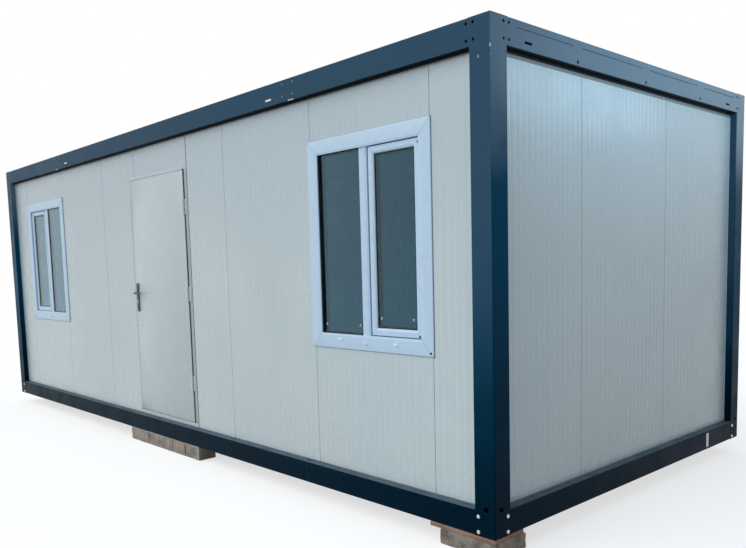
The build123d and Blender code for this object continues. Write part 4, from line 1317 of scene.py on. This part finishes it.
class CABIN_OT_stage(bpy.types.Operator):
    """Add the pale floor, the soft studio light and the camera"""

    bl_idname = "cabin.stage"
    bl_label = "Stage"

    def execute(self, context):
        scene = context.scene
        scene.view_settings.view_transform = "Standard"

        # Floor: pale paper that is white where it is seen directly, with its shadow kept
        reach = 90.0
        floor_material = bpy.data.materials.new("studio_floor")
        floor_material.use_nodes = True
        tree = floor_material.node_tree
        tree.nodes.clear()
        paper = add(tree, "BsdfDiffuse", {"Color": (0.4, 0.4, 0.4, 1)})
        glow = add(tree, "Emission", {"Color": (1, 1, 1, 1), "Strength": 0.66})
        lifted = add(tree, "AddShader", {0: paper.outputs[0], 1: glow.outputs[0]})
        seen = add(tree, "MixShader", {0: seen_directly(tree), 1: paper.outputs[0], 2: lifted.outputs[0]})
        add(tree, "OutputMaterial", {"Surface": seen.outputs[0]})
        mesh = bpy.data.meshes.new("studio_floor")
        corners = np.column_stack([rectangle(reach, reach), np.full(4, cad_bounds[0].z - 0.5 * mm)])
        mesh.from_pydata(corners.tolist(), [], [(0, 1, 2, 3)])
        mesh.materials.append(floor_material)
        floor = bpy.data.objects.new("studio_floor", mesh)
        scene.collection.objects.link(floor)

        world = bpy.data.worlds.new("studio")
        scene.world = world
        world.use_nodes = True
        tree = world.node_tree
        tree.nodes.clear()
        direction = add(tree, "SeparateXYZ", {0: add(tree, "TexCoord").outputs["Generated"]})
        above = add(tree, "MapRange", {"Value": direction.outputs["Z"], "From Max": 0.6}).outputs[0]
        sky = laid_over(tree, (0.94, 0.975, 1), (0.78, 0.9, 1), above)
        dimmer = add(tree, "MapRange", {
            "Value": direction.outputs["X"], "From Min": -0.1, "From Max": 0.9, "To Min": 0.8, "To Max": 0.37,
        })
        soft = add(tree, "Background", {"Color": sky, "Strength": dimmer.outputs[0]})
        white = add(tree, "Background", {"Color": (1, 1, 1, 1), "Strength": 1.0})
        both = add(tree, "MixShader", {0: seen_directly(tree), 1: soft.outputs[0], 2: white.outputs[0]})
        add(tree, "OutputWorld", {"Surface": both.outputs[0]})

        # A broad key from the front left, and cool panels at the front right and over the end
        area = {"shape": "RECTANGLE"}
        for name, kind, energy, colour, options, place, towards in (
            ("key_light", "SUN", 1.3, (1, 0.965, 0.92), {"angle": np.radians(50)},
             (0, 0, 8), (-0.42, -0.62, 0.66)),
            ("near_light", "AREA", 32, (0.7, 0.88, 1), area | {"size": 3.6, "size_y": 2.4},
             (4.6, -6.2, 3.4), (2.0, -4.7, 2.0)),
            ("end_light", "AREA", 11, (0.42, 0.74, 1), area | {"size": 3.2, "size_y": 0.5},
             (4.35, 0.25, 2.75), (0.85, 0.0, 0.05)),
        ):
            light = bpy.data.lights.new(name, kind)
            light.energy, light.color = energy, colour
            for key, value in options.items():
                setattr(light, key, value)
            lamp = bpy.data.objects.new(name, light)
            scene.collection.objects.link(lamp)
            lamp.matrix_world = Matrix.Translation(place) @ aim(towards)
            lamp.visible_camera = False

        # Camera where the photograph was taken from: its lens in millimetres on a 36 mm sensor
        camera = bpy.data.cameras.new("photo_camera")
        camera.sensor_width, camera.lens, camera.clip_end = 36, 35.99, 300
        camera.shift_x, camera.shift_y = 0.002, 0.088
        view = bpy.data.objects.new("photo_camera", camera)
        scene.collection.objects.link(view)
        axes = camera_axes(47.30, -5.763, -1.527)
        turn = Matrix(np.column_stack(axes).tolist()).to_4x4()
        view.matrix_world = Matrix.Translation((5.7455, -4.3755, 1.500)) @ turn
        scene.camera = view
        return {"FINISHED"}


builders = (
    CABIN_OT_steelwork,
    CABIN_OT_wall_panels,
    CABIN_OT_windows,
    CABIN_OT_door,
    CABIN_OT_hinges,
    CABIN_OT_handle,
    CABIN_OT_roof_and_room,
    CABIN_OT_supports,
    CABIN_OT_stage,
)


class CABIN_PT_sidebar(bpy.types.Panel):
    """Sidebar panel that lists the cabin's builders and settings"""

    bl_idname = "CABIN_PT_sidebar"
    bl_label = "Site cabin"
    bl_space_type = "VIEW_3D"
    bl_region_type = "UI"
    bl_category = "Site cabin"

    def draw(self, context):
        for group in settings(context):
            for name in group.__annotations__:
                self.layout.prop(group, name)
        for builder in builders:
            self.layout.operator(builder.bl_idname)


classes = (CabinSizes, CabinColours, *builders, CABIN_PT_sidebar)


def register():
    for cls in classes:
        bpy.utils.register_class(cls)
    bpy.types.Scene.cabin_sizes = PointerProperty(type=CabinSizes)
    bpy.types.Scene.cabin_colours = PointerProperty(type=CabinColours)


def unregister():
    del bpy.types.Scene.cabin_colours
    del bpy.types.Scene.cabin_sizes
    for cls in reversed(classes):
        bpy.utils.unregister_class(cls)


def main():
    """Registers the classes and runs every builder."""
    register()
    for builder in builders:
        group, name = builder.bl_idname.split(".")
        getattr(getattr(bpy.ops, group), name)()


if __name__ == "__main__":
    main()
